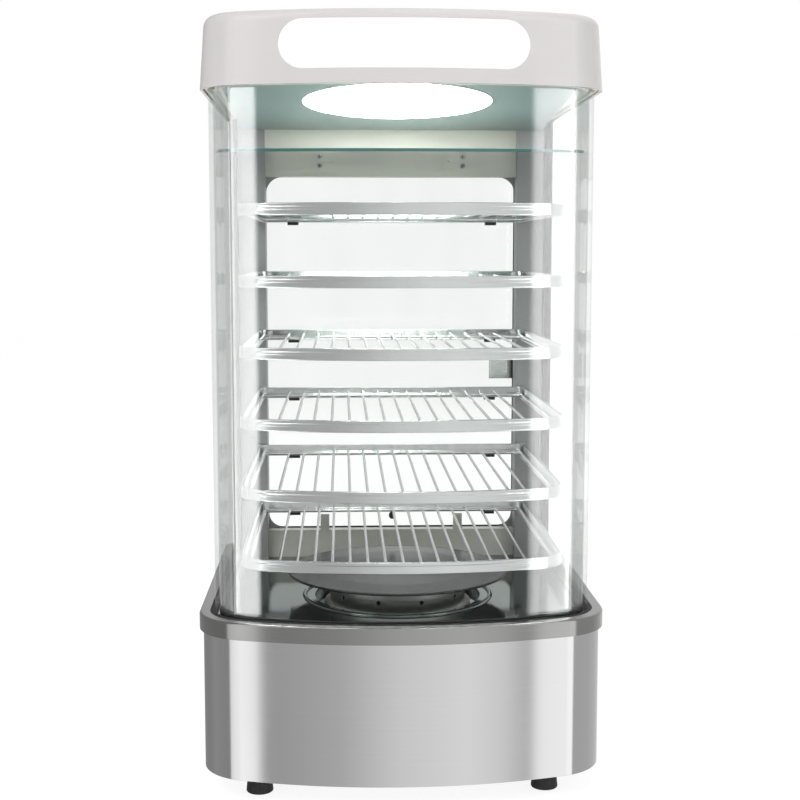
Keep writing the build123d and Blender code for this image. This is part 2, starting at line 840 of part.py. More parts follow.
with BuildPart() as glass_edge_seals:
    for side in (-1, 1):
        edge_x = side * (glass_width - glass_thickness) / 2
        with BuildSketch(Plane.XY.offset(channel_top)):
            with Locations((edge_x, post_front - seat_gap)):
                Rectangle(2 * edging_half, edging_in, align=(Align.CENTER, Align.MAX))
            with Locations((edge_x, glass_rear + seat_gap)):
                Rectangle(
                    glass_thickness + 2 * seat_gap,
                    edging_in,
                    align=(Align.CENTER, Align.MAX),
                    mode=Mode.SUBTRACT,
                )
        extrude(amount=frame_bottom - channel_top - seat_gap)
save(glass_edge_seals, "glass_edge_seals")

# Two rear posts, closed sheet tubes from the deck to the top frame
post_outer = glass_width / 2 - post_inset
post_inner = post_outer - post_width
post_x = (post_outer + post_inner) / 2

with BuildPart() as rear_posts:
    with BuildSketch(Plane.XY.offset(deck_top)):
        with Locations((-post_x, rear_y - post_depth / 2), (post_x, rear_y - post_depth / 2)):
            Rectangle(post_width, post_depth)
            Rectangle(post_width - 2 * post_wall, post_depth - 2 * post_wall, mode=Mode.SUBTRACT)
    extrude(amount=frame_bottom - deck_top)
save(rear_posts, "rear_posts")

# Header and sill between the posts; the sill carries two upright door stops
opening_bottom = rim_top + sill_height
opening_top = frame_bottom - header_height
stop_inset = 70.0
stop_x = post_inner - stop_inset
stop_width = 11.0
stop_height = 20.0
frame_front = rear_y - frame_depth

with BuildPart() as rear_header:
    with BuildSketch(Plane.XY.offset(opening_top)):
        with Locations((0, rear_y - frame_depth / 2)):
            Rectangle(2 * post_inner, frame_depth)
    extrude(amount=frame_bottom - opening_top)
    with BuildSketch(Plane.XY.offset(opening_top + sheet)):
        with Locations((0, rear_y)):
            Rectangle(2 * post_inner, frame_depth - sheet, align=(Align.CENTER, Align.MAX))
    extrude(amount=frame_bottom - opening_top - 2 * sheet, mode=Mode.SUBTRACT)
save(rear_header, "rear_header")

with BuildPart() as rear_sill:
    with BuildSketch(Plane.XY.offset(deck_top)):
        with Locations((0, rear_y - frame_depth / 2)):
            Rectangle(2 * post_inner, frame_depth)
    extrude(amount=opening_bottom - deck_top)
    with BuildSketch(Plane.XY.offset(deck_top + sheet)):
        with Locations((0, rear_y)):
            Rectangle(2 * post_inner, frame_depth - sheet, align=(Align.CENTER, Align.MAX))
    extrude(amount=opening_bottom - deck_top - 2 * sheet, mode=Mode.SUBTRACT)
    with BuildSketch(Plane.XZ.offset(-frame_front - sheet)):
        with Locations((-stop_x, opening_bottom), (stop_x, opening_bottom)):
            Rectangle(stop_width, stop_height, align=(Align.CENTER, Align.MIN))
    extrude(amount=sheet)
save(rear_sill, "rear_sill")

# Rear panel with the round-cornered door opening
opening_half = post_inner
opening_height = opening_top - opening_bottom
opening_middle = (opening_top + opening_bottom) / 2
panel_bottom = rim_top + seat_gap
panel_top = cap_bottom - seat_gap
frame_screw_radius = 2.0
header_screw_inset = 67.0
header_screw_x = post_inner - header_screw_inset
header_screw_rise = 18.0
header_screw_z = opening_top + header_screw_rise
sill_screw_z = rim_top + sill_height / 4
hinge_rise = 70.0
hinge_height = 44.0
frame_screw_places = [
    (-header_screw_x, header_screw_z),
    (header_screw_x, header_screw_z),
    (-header_screw_x, sill_screw_z),
    (header_screw_x, sill_screw_z),
]

with BuildPart() as rear_panel:
    with BuildSketch(Plane.XZ.offset(-rear_y - panel_sheet)):
        with Locations((0, (panel_bottom + panel_top) / 2)):
            Rectangle(2 * post_outer, panel_top - panel_bottom)
        with Locations((0, opening_middle)):
            RectangleRounded(2 * opening_half, opening_height, opening_corner, mode=Mode.SUBTRACT)
        with Locations(*frame_screw_places):
            Circle(frame_screw_radius, mode=Mode.SUBTRACT)
    extrude(amount=panel_sheet)
save(rear_panel, "rear_panel")

# Door seal, a rubber ring on the front face of the door
door_side_lap = 21.0
door_bottom_gap = 3.0
door_top_lap = 26.0
door_half = opening_half + door_side_lap
door_bottom = rim_top + door_bottom_gap
door_top = opening_top + door_top_lap
door_front = rear_y + door_front_back
door_back = rear_y + door_back_back
seal_half = opening_half + seal_lap + seal_width
seal_height = opening_height + 2 * (seal_lap + seal_width)

with BuildPart() as door_gasket:
    with BuildSketch(Plane.XZ.offset(-door_front)):
        with Locations((0, opening_middle)):
            RectangleRounded(2 * seal_half, seal_height, opening_corner + seal_width)
            RectangleRounded(
                2 * (seal_half - seal_width),
                seal_height - 2 * seal_width,
                opening_corner,
                mode=Mode.SUBTRACT,
            )
    extrude(amount=seal_depth)
save(door_gasket, "door_gasket")

# Door frame with a groove for its glass
door_glass_thickness = 4.0
door_glass_lap = 6.0
door_window_half = opening_half + seal_lap
door_window_height = opening_height + 2 * seal_lap
groove_front = door_front + (door_profile_depth - door_glass_thickness) / 2 - seat_gap

with BuildPart() as door_frame:
    with BuildSketch(Plane.XZ.offset(-door_back)):
        with Locations((0, (door_top + door_bottom) / 2)):
            RectangleRounded(2 * door_half, door_top - door_bottom, foot_round)
        with Locations((0, opening_middle)):
            RectangleRounded(2 * door_window_half, door_window_height, opening_corner, mode=Mode.SUBTRACT)
    extrude(amount=door_profile_depth)
    with BuildSketch(Plane.XZ.offset(-groove_front - door_glass_thickness - 2 * seat_gap)):
        with Locations((0, opening_middle)):
            Rectangle(
                2 * (door_window_half + door_glass_lap + seat_gap),
                door_window_height + 2 * (door_glass_lap + seat_gap),
            )
    extrude(amount=door_glass_thickness + 2 * seat_gap, mode=Mode.SUBTRACT)
save(door_frame, "door_frame")

with BuildPart() as door_glass:
    with BuildSketch(Plane.XZ.offset(-groove_front - seat_gap - door_glass_thickness)):
        with Locations((0, opening_middle)):
            Rectangle(
                2 * (door_window_half + door_glass_lap), door_window_height + 2 * door_glass_lap
            )
    extrude(amount=door_glass_thickness)
save(door_glass, "door_glass")

# Handle: a plate on the door with a finger lip
handle_width = 46.0
handle_height = 31.0
handle_rise = 202.0
handle_z = opening_bottom + handle_rise
handle_lip = 26.0
handle_wall = 4.0
handle_right_inset = 3.0
handle_right = door_half - handle_right_inset
handle_left = handle_right - handle_width
handle_back = door_back + handle_plate + handle_reach

with BuildPart() as door_handle:
    with BuildSketch(Plane.XY.offset(handle_z - handle_height / 2)):
        with BuildLine():
            Polyline(
                (handle_left, door_back),
                (handle_right, door_back),
                (handle_right, handle_back),
                (handle_right - handle_lip, handle_back),
                (handle_right - handle_lip, handle_back - handle_wall),
                (handle_right - handle_wall, handle_back - handle_wall),
                (handle_right - handle_wall, door_back + handle_plate),
                (handle_left, door_back + handle_plate),
                close=True,
            )
        make_face()
    extrude(amount=handle_height)
    fillet(door_handle.edges().filter_by(Axis.Z).group_by(Axis.Y)[-1], handle_wall / 4)
save(door_handle, "door_handle")

# Two hinges at the left side: leaves on the panel, leaves on the door, and their pins
hinge_axis_out = 6.0
hinge_axis_back = 3.0
hinge_axis_x = -(door_half + hinge_axis_out)
hinge_axis_y = door_back + hinge_axis_back
hinge_radius = 4.0
hinge_pin_radius = 2.0
hinge_leaf = 2.0
hinge_foot_gap = 2.0
hinge_foot_outer = post_outer
hinge_foot_inner = door_half + hinge_foot_gap
hinge_door_reach = 16.0
hinge_knuckle = hinge_height / 3
hinge_levels = [door_bottom + hinge_rise, door_top - hinge_rise]
panel_face = rear_y + panel_sheet

with BuildPart() as hinge_leaves_frame:
    for level in hinge_levels:
        with BuildSketch(Plane.XY.offset(level - hinge_height / 2)):
            with Locations((-hinge_foot_outer, panel_face)):
                Rectangle(
                    hinge_foot_outer - hinge_foot_inner,
                    hinge_leaf,
                    align=(Align.MIN, Align.MIN),
                )
                Rectangle(hinge_leaf, hinge_axis_y - panel_face, align=(Align.MIN, Align.MIN))
            with Locations((-hinge_foot_outer, hinge_axis_y)):
                Rectangle(
                    hinge_foot_outer + hinge_axis_x, hinge_leaf, align=(Align.MIN, Align.CENTER)
                )
        extrude(amount=hinge_height)
        with BuildSketch(Plane.XY.offset(level - hinge_height / 2)):
            with Locations((hinge_axis_x, hinge_axis_y)):
                Circle(hinge_radius)
        extrude(amount=hinge_height)
        with BuildSketch(Plane.XY.offset(level - hinge_height / 2)):
            with Locations((hinge_axis_x, hinge_axis_y)):
                Circle(hinge_pin_radius)
        extrude(amount=hinge_height, mode=Mode.SUBTRACT)
        with BuildSketch(Plane.XY.offset(level - hinge_knuckle / 2 - seat_gap)):
            with Locations((hinge_axis_x, hinge_axis_y)):
                Circle(hinge_radius + seat_gap)
        extrude(amount=hinge_knuckle + 2 * seat_gap, mode=Mode.SUBTRACT)
save(hinge_leaves_frame, "hinge_leaves_frame")

with BuildPart() as hinge_leaves_door:
    for level in hinge_levels:
        with BuildSketch(Plane.XY.offset(level - hinge_knuckle / 2)):
            with Locations((hinge_axis_x, hinge_axis_y)):
                Circle(hinge_radius)
            with Locations((hinge_axis_x, door_back)):
                Rectangle(
                    hinge_radius + hinge_door_reach, hinge_leaf, align=(Align.MIN, Align.MIN)
                )
            with Locations((hinge_axis_x, hinge_axis_y)):
                Circle(hinge_pin_radius + running_gap, mode=Mode.SUBTRACT)
        extrude(amount=hinge_knuckle)
save(hinge_leaves_door, "hinge_leaves_door")

pin_head = 1.2
with BuildPart() as hinge_pins:
    for level in hinge_levels:
        with BuildSketch(Plane.XY.offset(level - hinge_height / 2)):
            with Locations((hinge_axis_x, hinge_axis_y)):
                Circle(hinge_pin_radius)
        extrude(amount=hinge_height)
        with BuildSketch(Plane.XY.offset(level + hinge_height / 2)):
            with Locations((hinge_axis_x, hinge_axis_y)):
                Circle(hinge_pin_radius + pin_head)
        extrude(amount=pin_head)
save(hinge_pins, "hinge_pins")

# Magnet catch on the panel and its plate on the door
catch_inset = 64.0
catch_x = door_half - catch_inset
catch_width = 34.0
catch_height = 9.0
catch_plate_sheet = 1.0
catch_z = opening_top + seal_lap + seal_width + catch_height
catch_depth = door_front - panel_face - catch_plate_sheet - seat_gap

with BuildPart() as magnet_catch:
    with BuildSketch(Plane.XZ.offset(-panel_face)):
        with Locations((catch_x, catch_z)):
            Rectangle(catch_width, catch_height)
    extrude(amount=-catch_depth)
save(magnet_catch, "magnet_catch")

with BuildPart() as catch_plate:
    with BuildSketch(Plane.XZ.offset(-door_front)):
        with Locations((catch_x, catch_z)):
            Rectangle(catch_width, catch_height)
    extrude(amount=catch_plate_sheet)
save(catch_plate, "catch_plate")

# Screws of the rear frame, and the clamp screws on the front of the header
frame_screw_head = 4.0
frame_screw_head_height = 2.0

with BuildPart() as rear_frame_screws:
    with BuildSketch(Plane.XZ.offset(-panel_face)):
        with Locations(*frame_screw_places):
            Circle(frame_screw_head)
    extrude(amount=-frame_screw_head_height)
    fillet(rear_frame_screws.edges().group_by(Axis.Y)[-1], frame_screw_head_height / 2)
    with BuildSketch(Plane.XZ.offset(-panel_face)):
        with Locations(*frame_screw_places):
            Circle(frame_screw_radius)
    extrude(amount=panel_sheet)

# Shelf frames: ribbed band with a ledge inside for the rack
shelf_side_gap = 23.5
shelf_half = glass_width / 2 - glass_thickness - shelf_side_gap
shelf_corner = 38.0
shelf_back_corner = 12.0
shelf_front_gap = 0.8
shelf_post_gap = 8.5
shelf_height = 12.0
shelf_wall = 4.0
shelf_ledge = 6.0
shelf_ledge_sheet = 1.6
shelf_groove_depth = 1.2
shelf_groove_height = 1.8
shelf_groove_rise = 6.2
shelf_front = glass_front + glass_thickness + shelf_front_gap
shelf_rear = post_front - shelf_post_gap
shelf_bow = glass_bow - glass_thickness
shelf_tops = [lowest_shelf + shelf_pitch * (shelf_count - 1 - i) for i in range(shelf_count)]


def shelf_outline(inset, mode=Mode.ADD):
    """Footprint of a shelf frame, moved inward by inset."""
    bowed_outline(
        shelf_half - inset,
        shelf_front + inset,
        shelf_rear - inset,
        shelf_corner - inset,
        shelf_bow - inset,
        max(shelf_back_corner - inset, seat_gap),
        mode,
    )


with BuildPart() as shelf_frames:
    for top in shelf_tops:
        bottom = top - shelf_height
        with BuildSketch(Plane.XY.offset(bottom)):
            shelf_outline(0)
            shelf_outline(shelf_wall, Mode.SUBTRACT)
        extrude(amount=shelf_height)
        with BuildSketch(Plane.XY.offset(bottom)):
            shelf_outline(shelf_wall / 2)
            shelf_outline(shelf_wall + shelf_ledge, Mode.SUBTRACT)
        extrude(amount=shelf_ledge_sheet)
        with BuildSketch(Plane.XY.offset(bottom + shelf_groove_rise)):
            shelf_outline(-cut_over)
            shelf_outline(shelf_groove_depth, Mode.SUBTRACT)
        extrude(amount=shelf_groove_height, mode=Mode.SUBTRACT)
save(shelf_frames, "shelf_frames")

# Wire racks: a rim rod, a cross rod near each end and a row of wires along the depth
rack_rod = 2.0
rack_rod_round = 1.8
rack_wire = 1.5
rack_wire_sink = 0.6
rack_gap = 1.8
rack_wire_count = 15
rack_cross_inset = 12.0
rack_inset = shelf_wall + rack_gap + rack_rod
rack_half = shelf_half - rack_inset
rack_front = shelf_front + rack_inset
rack_rear = shelf_rear - rack_inset
rack_corner = shelf_corner - rack_inset
rack_bow = shelf_bow - rack_inset
rack_wire_pitch = 2 * (rack_half - rack_corner - rack_wire) / (rack_wire_count - 1)
rack_chord_half = rack_half - rack_corner
rack_cross_rods = [
    (rack_rear - rack_cross_inset, rack_half),
    (rack_front + rack_bow - sqrt(rack_bow**2 - rack_chord_half**2), rack_chord_half),
]

with BuildPart() as rack_pattern:
    with BuildSketch(Plane.XY.offset(-rack_rod)):
        shelf_outline(rack_inset - rack_rod)
        shelf_outline(rack_inset + rack_rod, Mode.SUBTRACT)
    extrude(amount=2 * rack_rod)
    fillet(rack_pattern.edges().filter_by(Axis.Z, reverse=True), rack_rod_round)
    for rod_y, rod_half in rack_cross_rods:
        with BuildSketch(Plane.YZ.offset(-rod_half)):
            with Locations((rod_y, 0)):
                Circle(rack_rod)
        extrude(amount=2 * rod_half)
    for n in range(rack_wire_count):
        wire_x = (n - (rack_wire_count - 1) / 2) * rack_wire_pitch
        wire_front = rack_front + rack_bow - sqrt(rack_bow**2 - wire_x**2)
        with BuildSketch(Plane.XZ.offset(-rack_rear - rack_rod)):
            with Locations((wire_x, rack_rod + rack_wire - rack_wire_sink)):
                Circle(rack_wire)
        extrude(amount=rack_rear - wire_front + 2 * rack_rod)


def make_wire_rack(top, name):
    """One rack, lying on the ledge of the frame whose top face is at the given height."""
    level = top - shelf_height + shelf_ledge_sheet + seat_gap + rack_rod
    with BuildPart() as rack:
        with Locations((0, 0, level)):
            add(rack_pattern.part)
    save(rack, name)


for number, top in enumerate(shelf_tops, start=1):
    make_wire_rack(top, f"wire_rack_{number}")

# Brackets from the posts to the shelf frames, with the rivet heads inside the rear rails
bracket_width = 11.0
bracket_x = post_inner + bracket_width / 2
rivet_radius = 3.0
rivet_dome = 1.4

with BuildPart() as shelf_brackets:
    for top in shelf_tops:
        with BuildSketch(Plane.XY.offset(top - shelf_height)):
            with Locations((-bracket_x, shelf_rear), (bracket_x, shelf_rear)):
                Rectangle(bracket_width, shelf_post_gap, align=(Align.CENTER, Align.MIN))
        extrude(amount=shelf_height)
        with BuildSketch(Plane.XY.offset(top - shelf_height + sheet)):
            with Locations((-bracket_x, shelf_rear + sheet), (bracket_x, shelf_rear + sheet)):
                Rectangle(
                    bracket_width, shelf_post_gap - 2 * sheet, align=(Align.CENTER, Align.MIN)
                )
        extrude(amount=shelf_height - sheet, mode=Mode.SUBTRACT)
        with BuildSketch(Plane.XZ.offset(shelf_wall - shelf_rear)):
            with Locations(
                (-bracket_x + bracket_width, top - rivet_radius - sheet),
                (bracket_x - bracket_width, top - rivet_radius - sheet),
            ):
                Circle(rivet_radius)
        extrude(amount=rivet_dome)
save(shelf_brackets, "shelf_brackets")

# Rubber pads under the rear rails, and a round buffer under the middle of the lowest one
pad_inset = 45.0
pad_x = shelf_half - pad_inset
pad_width = 13.0
pad_drop = 3.2
buffer_radius = 4.0
buffer_length = 8.0
buffer_neck = 1.5
buffer_z = lowest_shelf - shelf_height - buffer_radius - buffer_neck

with BuildPart() as shelf_pads:
    with BuildSketch(Plane.XZ.offset(-shelf_rear)):
        with Locations((0, buffer_z)):
            Circle(buffer_radius)
    extrude(amount=buffer_length)
    fillet(shelf_pads.edges().group_by(Axis.Y)[0], buffer_neck)
    with BuildSketch(Plane.XY.offset(buffer_z)):
        with Locations((0, shelf_rear - buffer_length / 2)):
            Circle(buffer_neck)
    extrude(amount=buffer_radius + buffer_neck)
    for top in shelf_tops:
        with BuildSketch(Plane.XY.offset(top - shelf_height - pad_drop)):
            with Locations((-pad_x, shelf_rear), (pad_x, shelf_rear)):
                Rectangle(pad_width, shelf_wall + shelf_ledge, align=(Align.CENTER, Align.MAX))
        extrude(amount=pad_drop)
save(shelf_pads, "shelf_pads")

# Top frame that the glass stands up into, resting on the posts
top_frame_out = 3.0
top_frame_in = 10.0
top_frame_rear_in = post_depth
recess_bottom = window_z - window_height / 2 - window_lap - seat_gap

with BuildPart() as top_frame:
    with BuildSketch(Plane.XY.offset(frame_bottom)):
        cabin_outline(top_frame_out, rear_y)
        cabin_outline(-top_frame_in, rear_y - top_frame_rear_in, seat_gap, Mode.SUBTRACT)
    extrude(amount=frame_height)
    open_ring(groove_out, -groove_in, frame_bottom, glass_top_in + seat_gap, Mode.SUBTRACT)
    with BuildSketch(Plane.XY.offset(recess_bottom)):
        cabin_outline(top_frame_out + cut_over, rear_y)
        cabin_outline(0, rear_y, mode=Mode.SUBTRACT)
        with Locations((0, glass_front)):
            Rectangle(window_width + 2 * (window_lap + cut_over), 2 * glass_corner, mode=Mode.INTERSECT)
    extrude(amount=frame_top - recess_bottom, mode=Mode.SUBTRACT)
save(top_frame, "top_frame")

# Ceiling: sloping sheet with the lamp hole, hung from a flange on the top frame
ceiling_slope = 4.5
ceiling_rise = 2.0
ceiling_middle = cap_bottom + ceiling_rise
lamp_hole_radius = 102.0
ceiling_gap = top_frame_in + seat_gap
ceiling_rear = rear_y - top_frame_rear_in - seat_gap
slope = tan(radians(ceiling_slope))
ceiling_plane = Plane(
    origin=(0, well_y, ceiling_middle),
    x_dir=(1, 0, 0),
    z_dir=(0, sin(radians(ceiling_slope)), cos(radians(ceiling_slope))),
)

with BuildPart() as ceiling_block:
    with BuildSketch(Plane.XY.offset(ceiling_middle - cabin_depth * slope)):
        cabin_outline(-ceiling_gap, ceiling_rear, seat_gap)
    extrude(amount=frame_top + sheet - ceiling_middle + cabin_depth * slope)
    with BuildSketch(ceiling_plane.offset(-cabin_depth / 2)):
        Rectangle(2 * cabin_depth, 2 * cabin_depth)
    extrude(amount=cabin_depth / 2, mode=Mode.SUBTRACT)
with BuildPart() as ceiling_room:
    with BuildSketch(Plane.XY.offset(ceiling_middle - cabin_depth * slope)):
        cabin_outline(-ceiling_gap - sheet, ceiling_rear - sheet, seat_gap)
    extrude(amount=frame_top + 2 * sheet - ceiling_middle + cabin_depth * slope)
    with BuildSketch(ceiling_plane.offset(-cabin_depth / 2)):
        Rectangle(2 * cabin_depth, 2 * cabin_depth)
    extrude(amount=cabin_depth / 2 + sheet, mode=Mode.SUBTRACT)
with BuildPart() as ceiling_panel:
    add(ceiling_block.part)
    add(ceiling_room.part, mode=Mode.SUBTRACT)
    with BuildSketch(Plane.XY.offset(frame_top)):
        cabin_outline(0, rear_y - seat_gap)
        cabin_outline(-ceiling_gap - sheet, ceiling_rear - sheet, seat_gap, Mode.SUBTRACT)
    extrude(amount=sheet)
    with BuildSketch(ceiling_plane):
        Circle(lamp_hole_radius)
    extrude(amount=2 * sheet, both=True, mode=Mode.SUBTRACT)
save(ceiling_panel, "ceiling_panel")

# Ceiling lamp: opal lens through the hole, a pan above it and a light board in the pan
lens_flange = 5.0
lens_sheet = 1.5
lens_sag = 4.0
pan_height = 18.0
board_sheet = 1.6
diode_size = 5.0
diode_height = 1.0
diode_ring_pitch = 24.0
diode_ring_count = 3
diodes_in_first_ring = 6
lens_radius = lamp_hole_radius - seat_gap
lens_sphere = (lens_radius**2 + lens_sag**2) / (2 * lens_sag)

with BuildPart() as lens_disc:
    with BuildSketch(ceiling_plane.offset(sheet)):
        Circle(lens_radius + lens_flange)
    extrude(amount=lens_sheet)
    with BuildSketch(ceiling_plane):
        Circle(lens_radius)
    extrude(amount=sheet)
with BuildPart(ceiling_plane) as lens_dome:
    with Locations((0, 0, lens_sphere - lens_sag)):
        Sphere(lens_sphere)
    Box(
        4 * lens_sphere,
        4 * lens_sphere,
        4 * lens_sphere,
        align=(Align.CENTER, Align.CENTER, Align.MIN),
        mode=Mode.SUBTRACT,
    )
with BuildPart() as lamp_lens:
    add(lens_disc.part)
    add(lens_dome.part)
save(lamp_lens, "lamp_lens")

pan_base = ceiling_plane.offset(sheet + lens_sheet)

with BuildPart() as lamp_pan:
    with BuildSketch(pan_base):
        Circle(lens_radius + lens_flange)
    extrude(amount=pan_height)
    with BuildSketch(pan_base):
        Circle(lens_radius + lens_flange - lens_sheet)
    extrude(amount=pan_height - sheet, mode=Mode.SUBTRACT)
save(lamp_pan, "lamp_pan")

board_plane = pan_base.offset(pan_height - sheet)

with BuildPart() as lamp_board:
    with BuildSketch(board_plane):
        Circle(lens_radius - lens_flange)
    extrude(amount=-board_sheet)
    with BuildSketch(board_plane.offset(-board_sheet)):
        for ring_number in range(1, diode_ring_count + 1):
            with PolarLocations(ring_number * diode_ring_pitch, ring_number * diodes_in_first_ring):
                Rectangle(diode_size, diode_size)
    extrude(amount=-diode_height)
save(lamp_board, "lamp_board")

# Driver for both lights, on the flange at the back
driver_length = 120.0
driver_width = 26.0
driver_height = 22.0
driver_y = rear_y - driver_width / 2 - seat_gap

with BuildPart() as lamp_driver:
    with BuildSketch(Plane.XY.offset(frame_top + sheet)):
        with Locations((0, driver_y)):
            RectangleRounded(driver_length, driver_width, sheet)
    extrude(amount=driver_height)
save(lamp_driver, "lamp_driver")

# Cap: drafted cover with a stadium window in its bowed front
cap_wall = 3.0
cap_draft = 4.0
cap_round = 11.0
window_sheet = 2.5
boss_radius = 6.0
boss_inset = 72.0
boss_x = glass_width / 2 - boss_inset
boss_rear_in = 14.0


def cap_block(inset, height, bottom):
    """Drafted block of the cap's shape, moved inward by inset."""
    with BuildSketch(Plane.XY.offset(bottom)) as block:
        cabin_outline(cap_out - inset, rear_y + cap_back - inset, back_corner - inset / 2)
    extrude(block.sketch, amount=height, taper=cap_draft)


with BuildPart() as cap_outer:
    cap_block(0, cap_height, cap_bottom)
    fillet(cap_outer.faces().sort_by(Axis.Z)[-1].outer_wire().edges(), cap_round)
with BuildPart() as cap_inner:
    cap_block(cap_wall, cap_height - cap_wall, cap_bottom)
    fillet(cap_inner.faces().sort_by(Axis.Z)[-1].outer_wire().edges(), cap_round - cap_wall)
with BuildPart() as cap_deep:
    cap_block(cap_wall + window_sheet, cap_height - cap_wall, cap_bottom)


def window_prism(grow, mode):
    """Stadium bar through the front of the cap."""
    with BuildSketch(Plane.XZ.offset(-glass_front - glass_corner)) as stadium:
        with Locations((0, window_z)):
            SlotOverall(window_width + 2 * grow, window_height + 2 * grow)
    extrude(stadium.sketch, amount=2 * glass_corner, mode=mode)


screw_boss_places = [(-boss_x, rear_y - boss_rear_in), (boss_x, rear_y - boss_rear_in)]

with BuildPart() as cap_shell:
    add(cap_outer.part)
    add(cap_inner.part, mode=Mode.SUBTRACT)
    window_prism(0, Mode.SUBTRACT)
    with BuildSketch(Plane.XY.offset(frame_top + sheet)):
        with Locations(*screw_boss_places):
            Circle(boss_radius)
            Circle(frame_screw_radius, mode=Mode.SUBTRACT)
    extrude(amount=cap_top - cap_wall / 2 - frame_top - sheet)
save(cap_shell, "cap_shell")

with BuildPart() as window_flange:
    add(cap_inner.part)
    add(cap_deep.part, mode=Mode.SUBTRACT)
    window_prism(window_lap, Mode.INTERSECT)
with BuildPart() as window_face:
    add(cap_outer.part)
    add(cap_inner.part, mode=Mode.SUBTRACT)
    window_prism(-seat_gap / 2, Mode.INTERSECT)
with BuildPart() as sign_window:
    add(window_flange.part)
    add(window_face.part)
save(sign_window, "sign_window")

# Light board behind the window, standing on the flange of the ceiling
sign_board_length = 210.0
sign_board_height = 34.0
sign_board_in = 30.0
sign_foot = 12.0
sign_diode_count = 12
sign_board_y = glass_front + sign_board_in
sign_board_z = frame_top + sheet

with BuildPart() as sign_light_board:
    with BuildSketch(Plane.XZ.offset(-sign_board_y - board_sheet)):
        with Locations((0, sign_board_z)):
            Rectangle(sign_board_length, sign_board_height, align=(Align.CENTER, Align.MIN))
    extrude(amount=board_sheet)
    with BuildSketch(Plane.XZ.offset(-sign_board_y)):
        with Locations((0, sign_board_z + sign_board_height / 2)):
            with GridLocations(sign_board_length / sign_diode_count, 0, sign_diode_count, 1):
                Rectangle(diode_size, diode_size)
    extrude(amount=diode_height)
    with BuildSketch(Plane.XY.offset(sign_board_z)):
        with Locations((0, sign_board_y)):
            with GridLocations(sign_board_length - sign_foot, 0, 2, 1):
                Rectangle(sign_foot, sign_board_in - sign_foot, align=(Align.CENTER, Align.MAX))
    extrude(amount=board_sheet)
save(sign_light_board, "sign_light_board")

# Screws through the flange into the bosses of the cap
cap_screw_length = 22.0

with BuildPart() as cap_screws:
    with BuildSketch(Plane.XY.offset(frame_top + sheet)):
        with Locations(*screw_boss_places):
            Circle(frame_screw_radius - running_gap)
    extrude(amount=cap_screw_length)

# Glass drip plate under the lamp, sloping down to the front, with clamps on the header
drip_slope = 2.2
drip_thickness = 3.0
drip_rise = 18.5
drip_rear_z = opening_top + drip_rise
drip_side_gap = 4.0
clamp_sheet = 1.5
drip_rear = frame_front - clamp_sheet - seat_gap
drip_front_gap = 8.0
clamp_inset = 76.0
clamp_x = post_inner - clamp_inset
clamp_width = 27.0
clamp_arm_width = 15.0
clamp_reach = 22.0
clamp_height = 15.0
clamp_screw_span = 20.0
clamp_screw_drop = 2.5
clamp_hole_radius = 1.8
clamp_screw_head = 3.2
clamp_screw_head_height = 1.8
clamp_z = drip_rear_z + drip_thickness + clamp_sheet - clamp_height / 2
clamp_screw_x = clamp_x + clamp_screw_span / 2
clamp_screw_places = [
    (-clamp_screw_x, clamp_z - clamp_screw_drop),
    (clamp_screw_x, clamp_z - clamp_screw_drop),
]
drip_plane = Plane(
    origin=(0, drip_rear, drip_rear_z),
    x_dir=(1, 0, 0),
    z_dir=(0, -sin(radians(drip_slope)), cos(radians(drip_slope))),
)
drip_half = post_inner - drip_side_gap / 2
drip_front = glass_front + glass_thickness + drip_front_gap

with BuildPart() as drip_glass:
    with BuildSketch(drip_plane):
        bowed_outline(
            glass_width / 2 - glass_thickness - drip_side_gap,
            drip_front - drip_rear,
            post_front - drip_side_gap - drip_rear,
            glass_corner - glass_thickness - drip_side_gap,
            glass_bow - glass_thickness - drip_front_gap,
            sheet,
        )
        Rectangle(2 * drip_half, post_depth, align=(Align.CENTER, Align.MAX))
    extrude(amount=drip_thickness)
save(drip_glass, "drip_glass")

with BuildPart() as drip_glass_clamps:
    with BuildSketch(drip_plane.offset(-clamp_sheet)):
        with Locations((-clamp_x, clamp_sheet), (clamp_x, clamp_sheet)):
            Rectangle(clamp_arm_width, clamp_reach, align=(Align.CENTER, Align.MAX))
    extrude(amount=clamp_sheet)
    with BuildSketch(drip_plane.offset(drip_thickness)):
        with Locations((-clamp_x, clamp_sheet), (clamp_x, clamp_sheet)):
            Rectangle(clamp_arm_width, clamp_reach, align=(Align.CENTER, Align.MAX))
    extrude(amount=clamp_sheet)
    with BuildSketch(Plane.XZ.offset(-frame_front)):
        with Locations((-clamp_x, clamp_z), (clamp_x, clamp_z)):
            Rectangle(clamp_width, clamp_height)
            with GridLocations(clamp_screw_span, 0, 2, 1):
                with Locations((0, -clamp_screw_drop)):
                    Circle(clamp_hole_radius, mode=Mode.SUBTRACT)
    extrude(amount=clamp_sheet)
save(drip_glass_clamps, "drip_glass_clamps")

# Screws of the feet, the panels, the clamps and the cap
with BuildPart() as case_screws:
    add(foot_screws.part)
    add(control_panel_screws.part)
    add(rear_frame_screws.part)
    add(cap_screws.part)
    with BuildSketch(Plane.XZ.offset(clamp_sheet - frame_front)):
        with Locations(*clamp_screw_places):
            Circle(clamp_screw_head)
    extrude(amount=clamp_screw_head_height)
    with BuildSketch(Plane.XZ.offset(clamp_sheet - frame_front)):
        with Locations(*clamp_screw_places):
            Circle(clamp_hole_radius - running_gap)
    extrude(amount=-clamp_sheet)
save(case_screws, "case_screws")
